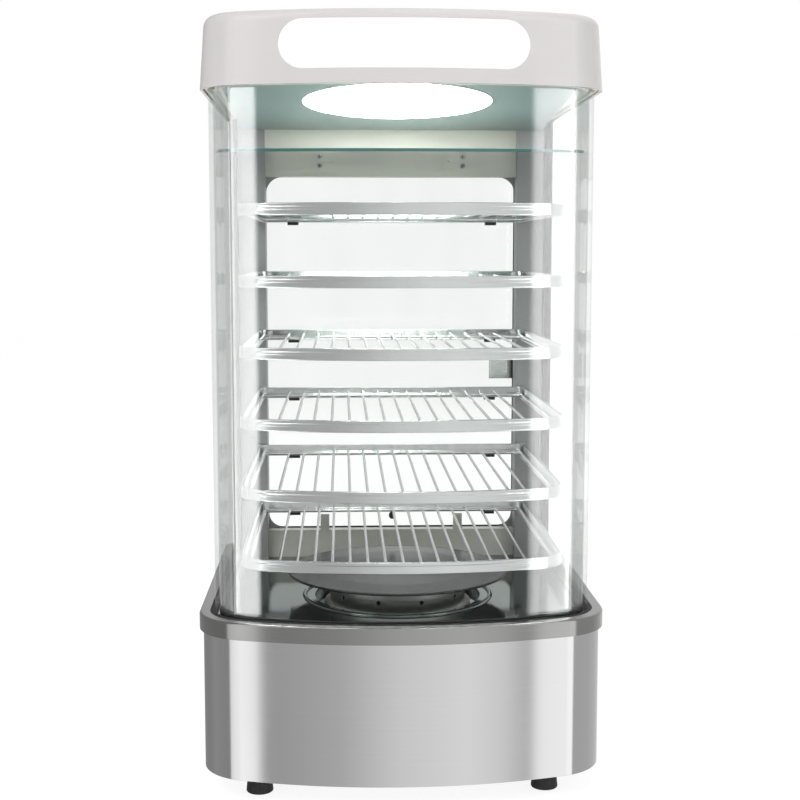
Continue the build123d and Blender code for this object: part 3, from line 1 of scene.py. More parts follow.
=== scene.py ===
import json
import math
import bpy
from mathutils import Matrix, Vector


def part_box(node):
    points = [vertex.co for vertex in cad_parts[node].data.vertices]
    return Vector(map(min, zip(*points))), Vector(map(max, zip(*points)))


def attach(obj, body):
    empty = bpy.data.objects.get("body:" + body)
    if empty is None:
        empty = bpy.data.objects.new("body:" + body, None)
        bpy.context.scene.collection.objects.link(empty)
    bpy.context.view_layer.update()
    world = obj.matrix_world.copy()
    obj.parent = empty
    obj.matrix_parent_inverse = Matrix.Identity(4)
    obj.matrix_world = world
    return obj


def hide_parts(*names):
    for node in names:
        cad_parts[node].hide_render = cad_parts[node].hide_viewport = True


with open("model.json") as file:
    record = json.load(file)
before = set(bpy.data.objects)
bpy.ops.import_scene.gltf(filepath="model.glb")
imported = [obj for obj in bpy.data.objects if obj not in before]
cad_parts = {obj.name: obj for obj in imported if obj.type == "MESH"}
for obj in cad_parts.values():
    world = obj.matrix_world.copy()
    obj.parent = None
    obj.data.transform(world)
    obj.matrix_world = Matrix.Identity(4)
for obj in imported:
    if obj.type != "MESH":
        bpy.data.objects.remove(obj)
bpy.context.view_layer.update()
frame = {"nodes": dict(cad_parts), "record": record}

nodes = frame["nodes"]
MM = 0.001

# Sizes of the case, read from the frame or repeated from the solids, in metres
glass_low, glass_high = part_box("front_glass")
shelf_low, shelf_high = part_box("shelf_frames")
panel_low, panel_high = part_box("control_panel")
knob_low, knob_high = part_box("thermostat_knob")
window_low, window_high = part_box("sign_window")
GLASS_CORNER = 45 * MM
GLASS_BOW = 540 * MM
GLASS_THICKNESS = 4.5 * MM
SHELF_CORNER = 38 * MM
SHELF_BACK_CORNER = 12 * MM
SHELF_HEIGHT = 12 * MM
SHELF_PITCH = 70.5 * MM
SHELF_COUNT = 6


# Shader helpers
# Most noise values lie between these two
NOISE_LOW = 0.3
NOISE_HIGH = 0.7


def start_material(name):
    """New node material; returns it, its tree and its main shader."""
    material = bpy.data.materials.new(name)
    material.use_nodes = True
    tree = material.node_tree
    return material, tree, tree.nodes["Principled BSDF"]


def node(tree, kind, inputs=None, **settings):
    """Add a node, set its properties, and set or link its inputs."""
    made = tree.nodes.new(kind)
    for key, value in settings.items():
        setattr(made, key, value)
    for key, value in (inputs or {}).items():
        if isinstance(value, bpy.types.NodeSocket):
            tree.links.new(value, made.inputs[key])
        else:
            made.inputs[key].default_value = value
    return made


def object_coords(tree, stretch=(1, 1, 1)):
    """Object coordinates in metres, stretched along each axis."""
    coords = node(tree, "ShaderNodeTexCoord").outputs["Object"]
    return node(tree, "ShaderNodeMapping", {"Vector": coords, "Scale": stretch}).outputs["Vector"]


def noise(tree, coords, scale, detail=3.0, roughness=0.55):
    """Noise value at the given coordinates."""
    made = node(
        tree,
        "ShaderNodeTexNoise",
        {"Vector": coords, "Scale": scale, "Detail": detail, "Roughness": roughness},
    )
    return made.outputs["Fac"]


def calculate(tree, operation, *values, clamp=False):
    """Result of one step of arithmetic on numbers or sockets."""
    inputs = dict(enumerate(values))
    return node(tree, "ShaderNodeMath", inputs, operation=operation, use_clamp=clamp).outputs[0]


def remap(tree, value, low, high, at_low=0.0, at_high=1.0, **settings):
    """Number that goes from at_low to at_high while the value goes from low to high."""
    made = node(
        tree,
        "ShaderNodeMapRange",
        {"Value": value, "From Min": low, "From Max": high, "To Min": at_low, "To Max": at_high},
        **settings,
    )
    return made.outputs["Result"]


def spread(tree, value, low, high):
    """Map a noise value to the range low to high."""
    return remap(tree, value, NOISE_LOW, NOISE_HIGH, low, high)


def shade(tree, value, dark, light):
    """Colour between two colours, by a noise value."""
    factor = spread(tree, value, 0.0, 1.0)
    made = node(
        tree,
        "ShaderNodeMix",
        {"Factor": factor, "A": (*dark, 1.0), "B": (*light, 1.0)},
        data_type="RGBA",
    )
    return made.outputs[2]


def mix_inputs(made, factor, first, second):
    """Link a mix shader's three inputs."""
    tree = made.id_data
    tree.links.new(factor, made.inputs[0])
    tree.links.new(first, made.inputs[1])
    tree.links.new(second, made.inputs[2])
    return made.outputs[0]


def bump(tree, shader, height, strength, distance, edge):
    """Bump from a height, over softened edges of the given radius."""
    softened = node(tree, "ShaderNodeBevel", {"Radius": edge}, samples=4).outputs[0]
    inputs = {"Height": height, "Strength": strength, "Distance": distance, "Normal": softened}
    made = node(tree, "ShaderNodeBump", inputs)
    tree.links.new(made.outputs["Normal"], shader.inputs["Normal"])


def blend_values(tree, factor, first, second):
    """Number between two numbers."""
    inputs = {"Factor": factor, "A": first, "B": second}
    return node(tree, "ShaderNodeMix", inputs, data_type="FLOAT").outputs[0]


def times(color, share):
    """Colour made darker or lighter."""
    return tuple(min(1.0, c * share) for c in color)


def vary_color(tree, shader, value, color, least, most):
    """Give a shader a colour that gets darker or lighter with a noise value."""
    shades = shade(tree, value, times(color, least), times(color, most))
    tree.links.new(shades, shader.inputs["Base Color"])


def facing(tree, axis):
    """How squarely a surface looks along an axis, forward or back, from 0 to 1."""
    normal = node(tree, "ShaderNodeNewGeometry").outputs["Normal"]
    part = node(tree, "ShaderNodeSeparateXYZ", {0: normal}).outputs[axis]
    return calculate(tree, "ABSOLUTE", part)


def facing_side(tree, low, high, at_low, at_high):
    """Number that changes where a surface turns towards the left or right side."""
    return remap(tree, facing(tree, 0), low, high, at_low, at_high)


def seen_straight(tree, path):
    """1 for the camera and for what it sees through a sheet, 0 for all other light."""
    return calculate(
        tree, "MAXIMUM", path.outputs["Is Camera Ray"], path.outputs["Is Transmission Ray"]
    )


# Materials
def brushed_steel(
    name, color, roughness, grain, anisotropy, streaks=0.06, relief=0.1, turned=False
):
    """Stainless sheet with a fine grain; turned sheet has its grain in circles."""
    material, tree, shader = start_material(name)
    lines = noise(tree, object_coords(tree, grain), 2.0, 6.0, 0.7)
    clouds = noise(tree, object_coords(tree), 9.0)
    vary_color(tree, shader, lines, color, 1 - streaks, 1 + streaks)
    rough = calculate(
        tree,
        "ADD",
        spread(tree, lines, roughness * 0.85, roughness * 1.15),
        spread(tree, clouds, -0.02, 0.03),
    )
    tree.links.new(rough, shader.inputs["Roughness"])
    shader.inputs["Metallic"].default_value = 1.0
    shader.inputs["Anisotropic"].default_value = anisotropy
    shader.inputs["Anisotropic Rotation"].default_value = 0.0 if turned else 0.25
    tangent = node(tree, "ShaderNodeTangent", direction_type="RADIAL", axis="Z")
    tree.links.new(tangent.outputs[0], shader.inputs["Tangent"])
    bump(tree, shader, lines, relief, 0.2 * MM, 0.4 * MM)
    return material


def plain_metal(name, color, roughness):
    """Bare or plated metal with faint handling marks."""
    material, tree, shader = start_material(name)
    marks = noise(tree, object_coords(tree), 140.0, 5.0, 0.65)
    clouds = noise(tree, object_coords(tree), 14.0)
    vary_color(tree, shader, clouds, color, 0.9, 1.06)
    rough = spread(tree, marks, roughness * 0.7, roughness * 1.4)
    tree.links.new(rough, shader.inputs["Roughness"])
    shader.inputs["Metallic"].default_value = 1.0
    bump(tree, shader, marks, 0.05, 0.1 * MM, 0.3 * MM)
    return material


def moulded(name, color, roughness, grain=900.0, strength=0.08, coat=0.0, mottle=0.04):
    """Moulded plastic or paint: slight shade change, fine skin texture."""
    material, tree, shader = start_material(name)
    skin = noise(tree, object_coords(tree), grain, 3.0)
    clouds = noise(tree, object_coords(tree), 12.0)
    vary_color(tree, shader, clouds, color, 1 - mottle, 1 + mottle)
    rough = spread(tree, skin, roughness * 0.85, roughness * 1.2)
    tree.links.new(rough, shader.inputs["Roughness"])
    shader.inputs["Coat Weight"].default_value = coat
    shader.inputs["Coat Roughness"].default_value = 0.04
    bump(tree, shader, skin, strength, 0.1 * MM, 0.5 * MM)
    return material


def rubber(name, color):
    """Matt rubber, with dust in its texture."""
    material, tree, shader = start_material(name)
    grain = noise(tree, object_coords(tree), 420.0, 4.0)
    dust = noise(tree, object_coords(tree), 30.0, 5.0)
    vary_color(tree, shader, dust, color, 1.0, 1.7)
    tree.links.new(spread(tree, grain, 0.5, 0.75), shader.inputs["Roughness"])
    bump(tree, shader, grain, 0.25, 0.1 * MM, 0.4 * MM)
    return material


GLASS_INDEX = 1.45
# A surface that looks this squarely to the front or side belongs to a flat sheet
FLAT_FROM = 0.97
FLAT_WHOLLY = 0.99
# Mirror strength that a sheet loses as it turns to the side
SIDE_MIRROR_LOSS = 0.06
# A surface of a level sheet that looks less than this up or down is a cut edge
LEVEL_FROM = 0.7


def sheet_index(tree):
    """Index of the glass, turned round behind flat sheets so that they don't act as prisms."""
    squarely = calculate(tree, "MAXIMUM", facing(tree, 0), facing(tree, 1))
    flat = remap(tree, squarely, FLAT_FROM, FLAT_WHOLLY)
    from_behind = node(tree, "ShaderNodeNewGeometry").outputs["Backfacing"]
    behind_flat = calculate(tree, "MULTIPLY", flat, from_behind)
    return blend_values(tree, behind_flat, GLASS_INDEX, 1 / GLASS_INDEX)


def glass(name, tint, edge_color, mirror, flat_axis=None):
    """Thin clear sheet that mirrors what is round it; with a flat axis, its cut edges are dark."""
    material, tree, shader = start_material(name)
    output = tree.nodes["Material Output"]
    waves = noise(tree, object_coords(tree, (6, 6, 1)), 1.0, 2.0)
    film = noise(tree, object_coords(tree, (40, 40, 9)), 1.0, 5.0)
    rolled = node(
        tree, "ShaderNodeBump", {"Height": waves, "Strength": 0.15, "Distance": 0.2 * MM}
    ).outputs[0]
    clear_color = shade(tree, film, times(tint, 0.99), tint)
    clear = node(tree, "ShaderNodeBsdfTransparent", {"Color": clear_color})
    gloss = node(
        tree, "ShaderNodeBsdfGlossy", {"Color": (1, 1, 1, 1), "Roughness": 0.0, "Normal": rolled}
    )
    fresnel = node(tree, "ShaderNodeFresnel", {"IOR": sheet_index(tree)})
    side_loss = facing_side(tree, 0.75, 0.95, 0.0, SIDE_MIRROR_LOSS)
    reflected = calculate(tree, "SUBTRACT", fresnel.outputs[0], side_loss)
    factor = calculate(tree, "MULTIPLY", reflected, mirror, clamp=True)
    sheet = mix_inputs(
        node(tree, "ShaderNodeMixShader"), factor, clear.outputs[0], gloss.outputs[0]
    )
    shader.inputs["Base Color"].default_value = (*edge_color, 1.0)
    shader.inputs["Roughness"].default_value = 0.12
    shader.inputs["Specular IOR Level"].default_value = 0.8
    if flat_axis is None:
        tree.links.new(sheet, output.inputs["Surface"])
        return material
    is_edge = calculate(tree, "LESS_THAN", facing(tree, flat_axis), LEVEL_FROM)
    whole = mix_inputs(node(tree, "ShaderNodeMixShader"), is_edge, sheet, shader.outputs[0])
    tree.links.new(whole, output.inputs["Surface"])
    return material


def uneven_light(tree, strength):
    """Strength of light that varies a little, as from a row of lights behind."""
    clouds = noise(tree, object_coords(tree), 22.0, 2.0)
    return spread(tree, clouds, strength * 0.94, strength * 1.06)


def light_up(tree, shader, color, glow_color, strength):
    """Set the unlit colour of opal plastic and the light that it gives."""
    shader.inputs["Base Color"].default_value = (*color, 1.0)
    shader.inputs["Roughness"].default_value = 0.3
    shader.inputs["Emission Color"].default_value = (*glow_color, 1.0)
    tree.links.new(strength, shader.inputs["Emission Strength"])


def glowing(name, color, strength):
    """Opal plastic lit from behind."""
    material, tree, shader = start_material(name)
    light_up(tree, shader, color, color, uneven_light(tree, strength))
    return material


def lit_window(name, edge_color, strength, fade):
    """Opal window whose light fades out over a narrow rim of its round-ended outline."""
    material, tree, shader = start_material(name)
    low, high = window_low, window_high
    radius = (high.z - low.z) / 2
    coords = node(tree, "ShaderNodeTexCoord").outputs["Object"]
    place = node(tree, "ShaderNodeSeparateXYZ", {0: coords})
    across = calculate(tree, "ABSOLUTE", place.outputs[0])
    past_end = calculate(tree, "SUBTRACT", across, high.x - radius)
    beyond = calculate(tree, "MAXIMUM", past_end, 0.0)
    height = calculate(tree, "SUBTRACT", place.outputs[2], (low.z + high.z) / 2)
    offset = node(tree, "ShaderNodeCombineXYZ", {0: beyond, 1: height})
    reach = node(tree, "ShaderNodeVectorMath", {0: offset.outputs[0]}, operation="LENGTH")
    lit = remap(
        tree,
        reach.outputs["Value"],
        radius - fade,
        radius,
        1.0,
        0.0,
        interpolation_type="SMOOTHSTEP",
    )
    glow = calculate(tree, "MULTIPLY", lit, uneven_light(tree, strength))
    light_up(tree, shader, edge_color, (1.0, 1.0, 1.0), glow)
    return material


STEEL = (0.60, 0.60, 0.60)
CAP = (0.73, 0.70, 0.70)
PLATE_EDGE = (0.04, 0.16, 0.15)
UPRIGHT = 2
materials = {
    "base_steel": brushed_steel("brushed base sheet", STEEL, 0.115, (3, 3, 700), 0.6, 0.015, 0.03),
    "rim_steel": brushed_steel(
        "satin rim sheet", (0.33, 0.33, 0.325), 0.14, (3, 3, 700), 0.5, 0.03, 0.05
    ),
    "deck_steel": brushed_steel(
        "polished deck sheet", (0.19, 0.23, 0.225), 0.08, (60, 60, 60), 0.2
    ),
    "steam_steel": brushed_steel(
        "turned steam sheet", (0.07, 0.07, 0.075), 0.20, (1, 1, 500), 0.9, relief=0.06, turned=True
    ),
    "cap_plastic": moulded("cap gloss", CAP, 0.22, 700.0, 0.02, 0.5, 0.008),
    "window_plastic": lit_window("lit window", CAP, 1.0, 16 * MM),
    "lens_plastic": glowing("lit lens", (1.0, 1.0, 0.98), 12.0),
    "case_glass": glass("clear sheet glass", (0.988, 0.995, 0.991), (0.30, 0.48, 0.43), 0.55),
    "drip_plate_glass": glass(
        "drip plate glass", (0.93, 0.975, 0.965), PLATE_EDGE, 1.6, flat_axis=UPRIGHT
    ),
    "black_rubber": rubber("black rubber", (0.012, 0.012, 0.012)),
    "frame_paint": moulded("grey frame paint", (0.36, 0.37, 0.37), 0.3, 1200.0, 0.05),
    "inner_frame_steel": moulded("pale inner frame", (0.80, 0.80, 0.72), 0.35, 900.0, 0.02),
    "ceiling_paint": moulded("ceiling sheet", (0.31, 0.39, 0.38), 0.35, 500.0, 0.01),
    "door_aluminium": brushed_steel("anodised door", (0.20, 0.20, 0.205), 0.3, (3, 3, 500), 0.3),
    "handle_steel": plain_metal("bright handle", (0.72, 0.73, 0.72), 0.2),
    "shelf_steel": brushed_steel(
        "bright shelf band", (0.66, 0.67, 0.67), 0.20, (3, 3, 300), 0.3, 0.01, 0.005
    ),
    "rack_chrome": plain_metal("plated wire", (0.78, 0.78, 0.78), 0.10),
    "fitting_steel": plain_metal("zinc fittings", (0.62, 0.62, 0.62), 0.25),
    "element_steel": plain_metal("heat dulled element", (0.15, 0.13, 0.12), 0.45),
    "valve_chrome": plain_metal("plated valve", (0.72, 0.72, 0.71), 0.08),
    "lever_paint": moulded("red dipped lever", (0.42, 0.02, 0.012), 0.35, 600.0, 0.1),
    "control_plastic": moulded(
        "black control plastic", (0.016, 0.016, 0.017), 0.4, 1100.0, 0.12
    ),
    "rocker_plastic": moulded("black rocker plastic", (0.02, 0.02, 0.02), 0.2, 1500.0, 0.03),
    "thermostat_plastic": moulded("pale insulator", (0.55, 0.52, 0.45), 0.4, 900.0, 0.08),
    "indicator_plastic": moulded("red lamp", (0.5, 0.02, 0.01), 0.15, 900.0, 0.02, 0.4),
    "board_laminate": moulded("white board", (0.7, 0.71, 0.69), 0.3, 900.0, 0.04),
    "pan_aluminium": plain_metal("plain aluminium", (0.66, 0.67, 0.68), 0.35),
}
materials["print_white"] = moulded("white print", (0.8, 0.8, 0.78), 0.5)
materials["collar_look"] = brushed_steel(
    "turned collar sheet", (0.80, 0.80, 0.76), 0.35, (1, 1, 500), 0.8, relief=0.06, turned=True
)


def paint_side_shade(material, share):
    """Paint shade into a material's colour where its surface looks to the left or right."""
    tree = material.node_tree
    shader = tree.nodes["Principled BSDF"]
    color = shader.inputs["Base Color"].links[0].from_socket
    # Painted shade: the colour falls to the given share on surfaces that look to the side
    painted_side_shade = facing_side(tree, 0.75, 1.0, 1.0, share)
    dimmed = node(
        tree, "ShaderNodeVectorMath", {0: color, "Scale": painted_side_shade}, operation="SCALE"
    )
    tree.links.new(dimmed.outputs["Vector"], shader.inputs["Base Color"])


# Painted shade: the base sheet's left and right faces are made darker in colour, as the sides
# catch less light
paint_side_shade(materials["base_steel"], 0.6)
slot_of = {entry["node"]: entry["material_slot"] for entry in frame["record"]["subparts"]}


def dress(piece, material):
    """Give a piece one material."""
    piece.data.materials.clear()
    piece.data.materials.append(material)


for name, piece in nodes.items():
    dress(piece, materials[slot_of[name]])
dress(nodes["steam_collar"], materials["collar_look"])
dress(nodes["drip_glass_clamps"], materials["inner_frame_steel"])


# Mesh helpers: how finely curves are divided
FRONT_CORNER_STEPS = 24
BOW_STEPS = 64
BACK_CORNER_STEPS = 8
RECTANGLE_CORNER_STEPS = 10
BEAD_STEPS = 8


def link_mesh(name, vertices, faces, sharp=35.0):
    """New mesh object in the scene, smooth but for edges sharper than the given angle."""
    mesh = bpy.data.meshes.new(name)
    mesh.from_pydata(vertices, [], faces)
    mesh.update()
    mesh.shade_smooth()
    mesh.set_sharp_from_angle(angle=math.radians(sharp))
    piece = bpy.data.objects.new(name, mesh)
    bpy.context.scene.collection.objects.link(piece)
    return piece


def settle(piece, body, slot, *replaced, look=None):
    """Tie a new piece to its body, and dress it in its slot's material or in another look."""
    dress(piece, materials[look or slot])
    if replaced:
        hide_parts(*replaced)
    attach(piece, body)
    return piece


def arc(center, radius, start, end, steps):
    """Points on an arc, angles in degrees."""
    turns = [math.radians(start + (end - start) * n / steps) for n in range(steps + 1)]
    return [(center[0] + radius * math.cos(t), center[1] + radius * math.sin(t)) for t in turns]


def bowed_path(half, front, rear, corner, bow):
    """Open path from the left rear end round the bowed front to the right rear end."""
    corner_x = half - corner
    bow_y = front + bow
    corner_y = bow_y - math.sqrt((bow - corner) ** 2 - corner_x**2)
    swing = math.degrees(math.asin(corner_x / (bow - corner)))
    points = [(-half, rear)]
    points += arc((-corner_x, corner_y), corner, 180, 270 - swing, FRONT_CORNER_STEPS)
    points += arc((0, bow_y), bow, -90 - swing, -90 + swing, BOW_STEPS)[1:-1]
    points += arc((corner_x, corner_y), corner, -90 + swing, 0, FRONT_CORNER_STEPS)
    return points + [(half, rear)]


def bowed_outline(half, front, rear, corner, bow, back_radius):
    """Closed outline: the bowed path and a flat back with round corners."""
    side, back, steps = half - back_radius, rear - back_radius, BACK_CORNER_STEPS
    points = bowed_path(half, front, back, corner, bow)
    points += arc((side, back), back_radius, 0, 90, steps)[1:]
    points += arc((-side, back), back_radius, 90, 180, steps)[:-1]
    return points


def round_rectangle(half_width, half_height, radius):
    """Closed outline round the origin."""
    points = []
    for side_x, side_y, start in ((1, 1, 0), (-1, 1, 90), (-1, -1, 180), (1, -1, 270)):
        center = (side_x * (half_width - radius), side_y * (half_height - radius))
        points += arc(center, radius, start, start + 90, RECTANGLE_CORNER_STEPS)
    return points


def level_place(u, v, height):
    """Point of an outline that lies level."""
    return (u, v, height)


def sweep(name, outline_at, profile, place=level_place, closed=True, sharp=35.0):
    """Band along outline_at(inset); its closed profile is a list of (inset, height)."""
    vertices = []
    for inset, height in profile:
        vertices += [place(u, v, height) for u, v in outline_at(inset)]
    rows = len(profile)
    count = len(vertices) // rows
    faces = []
    for row in range(rows):
        other = (row + 1) % rows
        for n in range(count if closed else count - 1):
            after = (n + 1) % count
            here, there = row * count, other * count
            faces.append((here + n, here + after, there + after, there + n))
    if not closed:
        faces.append(tuple(row * count for row in range(rows)))
        faces.append(tuple(row * count + count - 1 for row in reversed(range(rows))))
    return link_mesh(name, vertices, faces, sharp)


def bead(low, high, depth):
    """Profile points of a bulge between two heights; its crown is at inset 0."""
    points = []
    for n in range(BEAD_STEPS + 1):
        share = 2 * n / BEAD_STEPS - 1
        height = (low + high) / 2 + share * (high - low) / 2
        points.append((depth * (1 - math.sqrt(max(0.0, 1 - share**2))), height))
    return points


def rectangle(x, z, half_width, low, high):
    """Outline of an upright strip, its ends measured from z."""
    return [
        (x - half_width, z + low),
        (x + half_width, z + low),
        (x + half_width, z + high),
        (x - half_width, z + high),
    ]


def solid_bar(name, outline, low, high, place):
    """Flat piece of the given outline between two heights."""
    count = len(outline)
    vertices = [place(u, v, low) for u, v in outline] + [place(u, v, high) for u, v in outline]
    faces = [tuple(reversed(range(count))), tuple(range(count, 2 * count))]
    faces += [(n, (n + 1) % count, count + (n + 1) % count, count + n) for n in range(count)]
    return link_mesh(name, vertices, faces)


# Shelf bands: a rolled band with two beads and a ledge for the rack
LEDGE_REACH = 10 * MM
LEDGE_SHEET = 1.6 * MM
BAND_WALL = 4 * MM
BEAD_DEPTH = 0.9 * MM
BEAD_SPLIT = 7.0 * MM
BEAD_GAP = 1.0 * MM
BAND_ROUND = MM / 2


def shelf_outline(inset):
    """Footprint of a shelf band, moved inward."""
    return bowed_outline(
        shelf_high.x - inset,
        shelf_low.y + inset,
        shelf_high.y - inset,
        SHELF_CORNER - inset,
        GLASS_BOW - GLASS_THICKNESS - inset,
        max(SHELF_BACK_CORNER - inset, MM),
    )


def make_shelf_band(number):
    """One shelf band, counted from the top."""
    bottom = shelf_high.z - SHELF_PITCH * (number - 1) - SHELF_HEIGHT
    profile = bead(0, BEAD_SPLIT - BEAD_GAP, BEAD_DEPTH)
    profile += bead(BEAD_SPLIT + BEAD_GAP, SHELF_HEIGHT, BEAD_DEPTH)
    profile += [(BAND_WALL - BAND_ROUND, SHELF_HEIGHT), (BAND_WALL, SHELF_HEIGHT - BAND_ROUND)]
    profile += [(BAND_WALL, LEDGE_SHEET + BAND_ROUND), (BAND_WALL + BAND_ROUND, LEDGE_SHEET)]
    profile += [(LEDGE_REACH - BAND_ROUND, LEDGE_SHEET), (LEDGE_REACH, LEDGE_SHEET / 2)]
    profile += [(LEDGE_REACH - BAND_ROUND, 0)]
    profile = [(inset, bottom + height) for inset, height in profile]
    band = sweep(f"shelf_band_{number}", shelf_outline, profile, sharp=50.0)
    settle(band, "cabinet", "shelf_steel", "shelf_frames")


for number in range(1, SHELF_COUNT + 1):
    make_shelf_band(number)


# Bowed glass with ground edges
def glass_path(inset):
    """Open path of the glass, moved inward."""
    return bowed_path(
        glass_high.x - inset,
        glass_low.y + inset,
        glass_high.y,
        GLASS_CORNER - inset,
        GLASS_BOW - inset,
    )


GROUND = 0.5 * MM
glass_profile = [
    (GROUND, glass_low.z),
    (0, glass_low.z + GROUND),
    (0, glass_high.z - GROUND),
    (GROUND, glass_high.z),
    (GLASS_THICKNESS - GROUND, glass_high.z),
    (GLASS_THICKNESS, glass_high.z - GROUND),
    (GLASS_THICKNESS, glass_low.z + GROUND),
    (GLASS_THICKNESS - GROUND, glass_low.z),
]
front_sheet = sweep("bowed_glass_sheet", glass_path, glass_profile, closed=False)
settle(front_sheet, "cabinet", "case_glass", "front_glass")


# Door: mitred corners and a glazing bead on both faces
def on_back(u, v, height):
    """Point on an upright plane, its height measured towards the back."""
    return (u, height, v)


door_low, door_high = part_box("door_frame")
OPENING_HALF = 156.5 * MM
OPENING_TOP = 646.5 * MM
OPENING_BOTTOM = 202.5 * MM
OPENING_CORNER = 20 * MM
BEAD_WIDTH = 3 * MM
BEAD_WALL_SHARE = 0.85
BEAD_SLOPE_SHARE = 0.8
MITRE_LINE = 0.35 * MM
MITRE_RELIEF = 0.04 * MM
MITRE_CORNER_SHARE = 0.3
opening_middle = (OPENING_TOP + OPENING_BOTTOM) / 2


def door_opening(inset):
    """Outline of the door's window, moved inward."""
    outline = round_rectangle(
        OPENING_HALF - inset, (OPENING_TOP - OPENING_BOTTOM) / 2 - inset, OPENING_CORNER - inset
    )
    return [(u, v + opening_middle) for u, v in outline]


def make_door_trim():
    """Glazing beads, and the joint lines of the mitred corners."""
    glass_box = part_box("door_glass")
    for side, start, reach in (
        ("inner", glass_box[0].y, -BEAD_WIDTH),
        ("outer", glass_box[1].y, BEAD_WIDTH),
    ):
        profile = [(-MM / 5, start + reach * share) for share in (0, BEAD_WALL_SHARE)]
        profile += [
            (BEAD_WIDTH * share, start + reach * (BEAD_WALL_SHARE - BEAD_SLOPE_SHARE * share**2))
            for share in (0.3, 0.6, 0.9, 1.0)
        ]
        made = sweep(f"glazing_bead_{side}", door_opening, profile, on_back, sharp=60.0)
        settle(made, "door", "black_rubber")
    into_corner = OPENING_CORNER * MITRE_CORNER_SHARE
    corners = [
        (side * door_high.x, outer, side * (OPENING_HALF - into_corner), inner)
        for side in (-1, 1)
        for outer, inner in (
            (door_low.z, OPENING_BOTTOM + into_corner),
            (door_high.z, OPENING_TOP - into_corner),
        )
    ]
    for number, (x0, z0, x1, z1) in enumerate(corners, start=1):
        along = Vector((x1 - x0, z1 - z0)).normalized()
        side = Vector((-along.y, along.x)) * MITRE_LINE / 2
        begin = Vector((x0, z0)) + along * MM
        end = Vector((x1, z1))
        outline = [tuple(p) for p in (begin - side, end - side, end + side, begin + side)]
        low, high = door_high.y, door_high.y + MITRE_RELIEF
        made = solid_bar(f"door_mitre_{number}", outline, low, high, on_back)
        settle(made, "door", "door_aluminium", look="black_rubber")


make_door_trim()


# Thermostat knob: ribbed grip, skirt and white pointer
KNOB_RIBS = 24
KNOB_SKIRT = 3 * MM
KNOB_RIB_DEPTH = 0.7 * MM
KNOB_RIB_STEPS = 8
KNOB_GRIP_SHARE = 0.86
POINTER_HALF_WIDTH = 0.6 * MM
POINTER_END_INSET = 2.6 * MM
POINTER_DEPTH = 0.9 * MM
knob_x = (knob_low.x + knob_high.x) / 2
knob_z = (knob_low.z + knob_high.z) / 2
knob_radius = (knob_high.x - knob_low.x) / 2
knob_foot = panel_high.y + 0.6 * MM


def make_knob():
    """Revolved knob whose grip is ribbed."""
    grip = knob_radius * KNOB_GRIP_SHARE
    rows = [
        (knob_foot, knob_radius - MM, 0),
        (knob_foot + MM / 3, knob_radius, 0),
        (knob_foot + KNOB_SKIRT - MM / 3, knob_radius, 0),
        (knob_foot + KNOB_SKIRT, knob_radius - MM / 3, 0),
        (knob_foot + KNOB_SKIRT, grip + MM / 2, 0),
        (knob_foot + KNOB_SKIRT + MM / 2, grip, 1),
        (knob_high.y - 1.6 * MM, grip - MM / 2, 1),
        (knob_high.y - 0.5 * MM, grip - 1.1 * MM, 0.5),
        (knob_high.y, grip - 2.4 * MM, 0),
        (knob_high.y - 0.6 * MM, grip - 4.4 * MM, 0),
        (knob_high.y - 0.8 * MM, MM / 10, 0),
    ]
    steps = KNOB_RIBS * KNOB_RIB_STEPS
    vertices, faces = [], []
    for y, radius, ribbed in rows:
        for n in range(steps):
            turn = 2 * math.pi * n / steps
            wave = (0.5 + 0.5 * math.cos(KNOB_RIBS * turn)) ** 2
            r = radius - ribbed * KNOB_RIB_DEPTH * wave
            vertices.append((knob_x + r * math.sin(turn), y, knob_z + r * math.cos(turn)))
    for row in range(len(rows) - 1):
        for n in range(steps):
            after = (n + 1) % steps
            low, high = row * steps, (row + 1) * steps
            faces.append((low + n, low + after, high + after, high + n))
    faces.append(tuple(reversed(range(steps))))
    faces.append(tuple((len(rows) - 1) * steps + n for n in range(steps)))
    knob = link_mesh("ribbed_knob", vertices, faces, 40.0)
    settle(knob, "thermostat_dial", "control_plastic", "thermostat_knob")
    strip = rectangle(knob_x, knob_z, POINTER_HALF_WIDTH, grip / 3, grip - POINTER_END_INSET)
    pointer = solid_bar("knob_pointer", strip, knob_high.y - POINTER_DEPTH, knob_high.y, on_back)
    settle(pointer, "thermostat_dial", "control_plastic", look="print_white")


make_knob()


# Marks and screws
DISC_STEPS = 32


def disc_outline(x, z, radius):
    """Round outline on an upright plane."""
    last = 360 - 360 / DISC_STEPS
    return [(x + u, z + v) for u, v in arc((0, 0), radius, 0, last, DISC_STEPS - 1)]


def cross_outline(x, z, radius, width):
    """Outline of a cross-shaped driver recess."""
    w = width / 2
    corner = [(w, radius), (w, w), (radius, w)]
    points = []
    for quarter in range(4):
        cos, sin = ((1, 0), (0, 1), (-1, 0), (0, -1))[quarter]
        points += [(x + u * cos - v * sin, z + u * sin + v * cos) for u, v in reversed(corner)]
    return points


RECESS_SHARE = 0.62
RECESS_WIDTH_SHARE = 0.28
PRINT = 0.05 * MM


def screw_recess(name, x, z, face, facing, radius):
    """Dark driver recess laid on a screw head; facing is 1 to the back, -1 to the front."""
    outline = cross_outline(x, z, radius * RECESS_SHARE, radius * RECESS_WIDTH_SHARE)
    low, high = sorted((face - facing * PRINT, face + facing * PRINT))
    made = solid_bar(name, outline, low, high, on_back)
    settle(made, "cabinet", "fitting_steel", look="black_rubber")


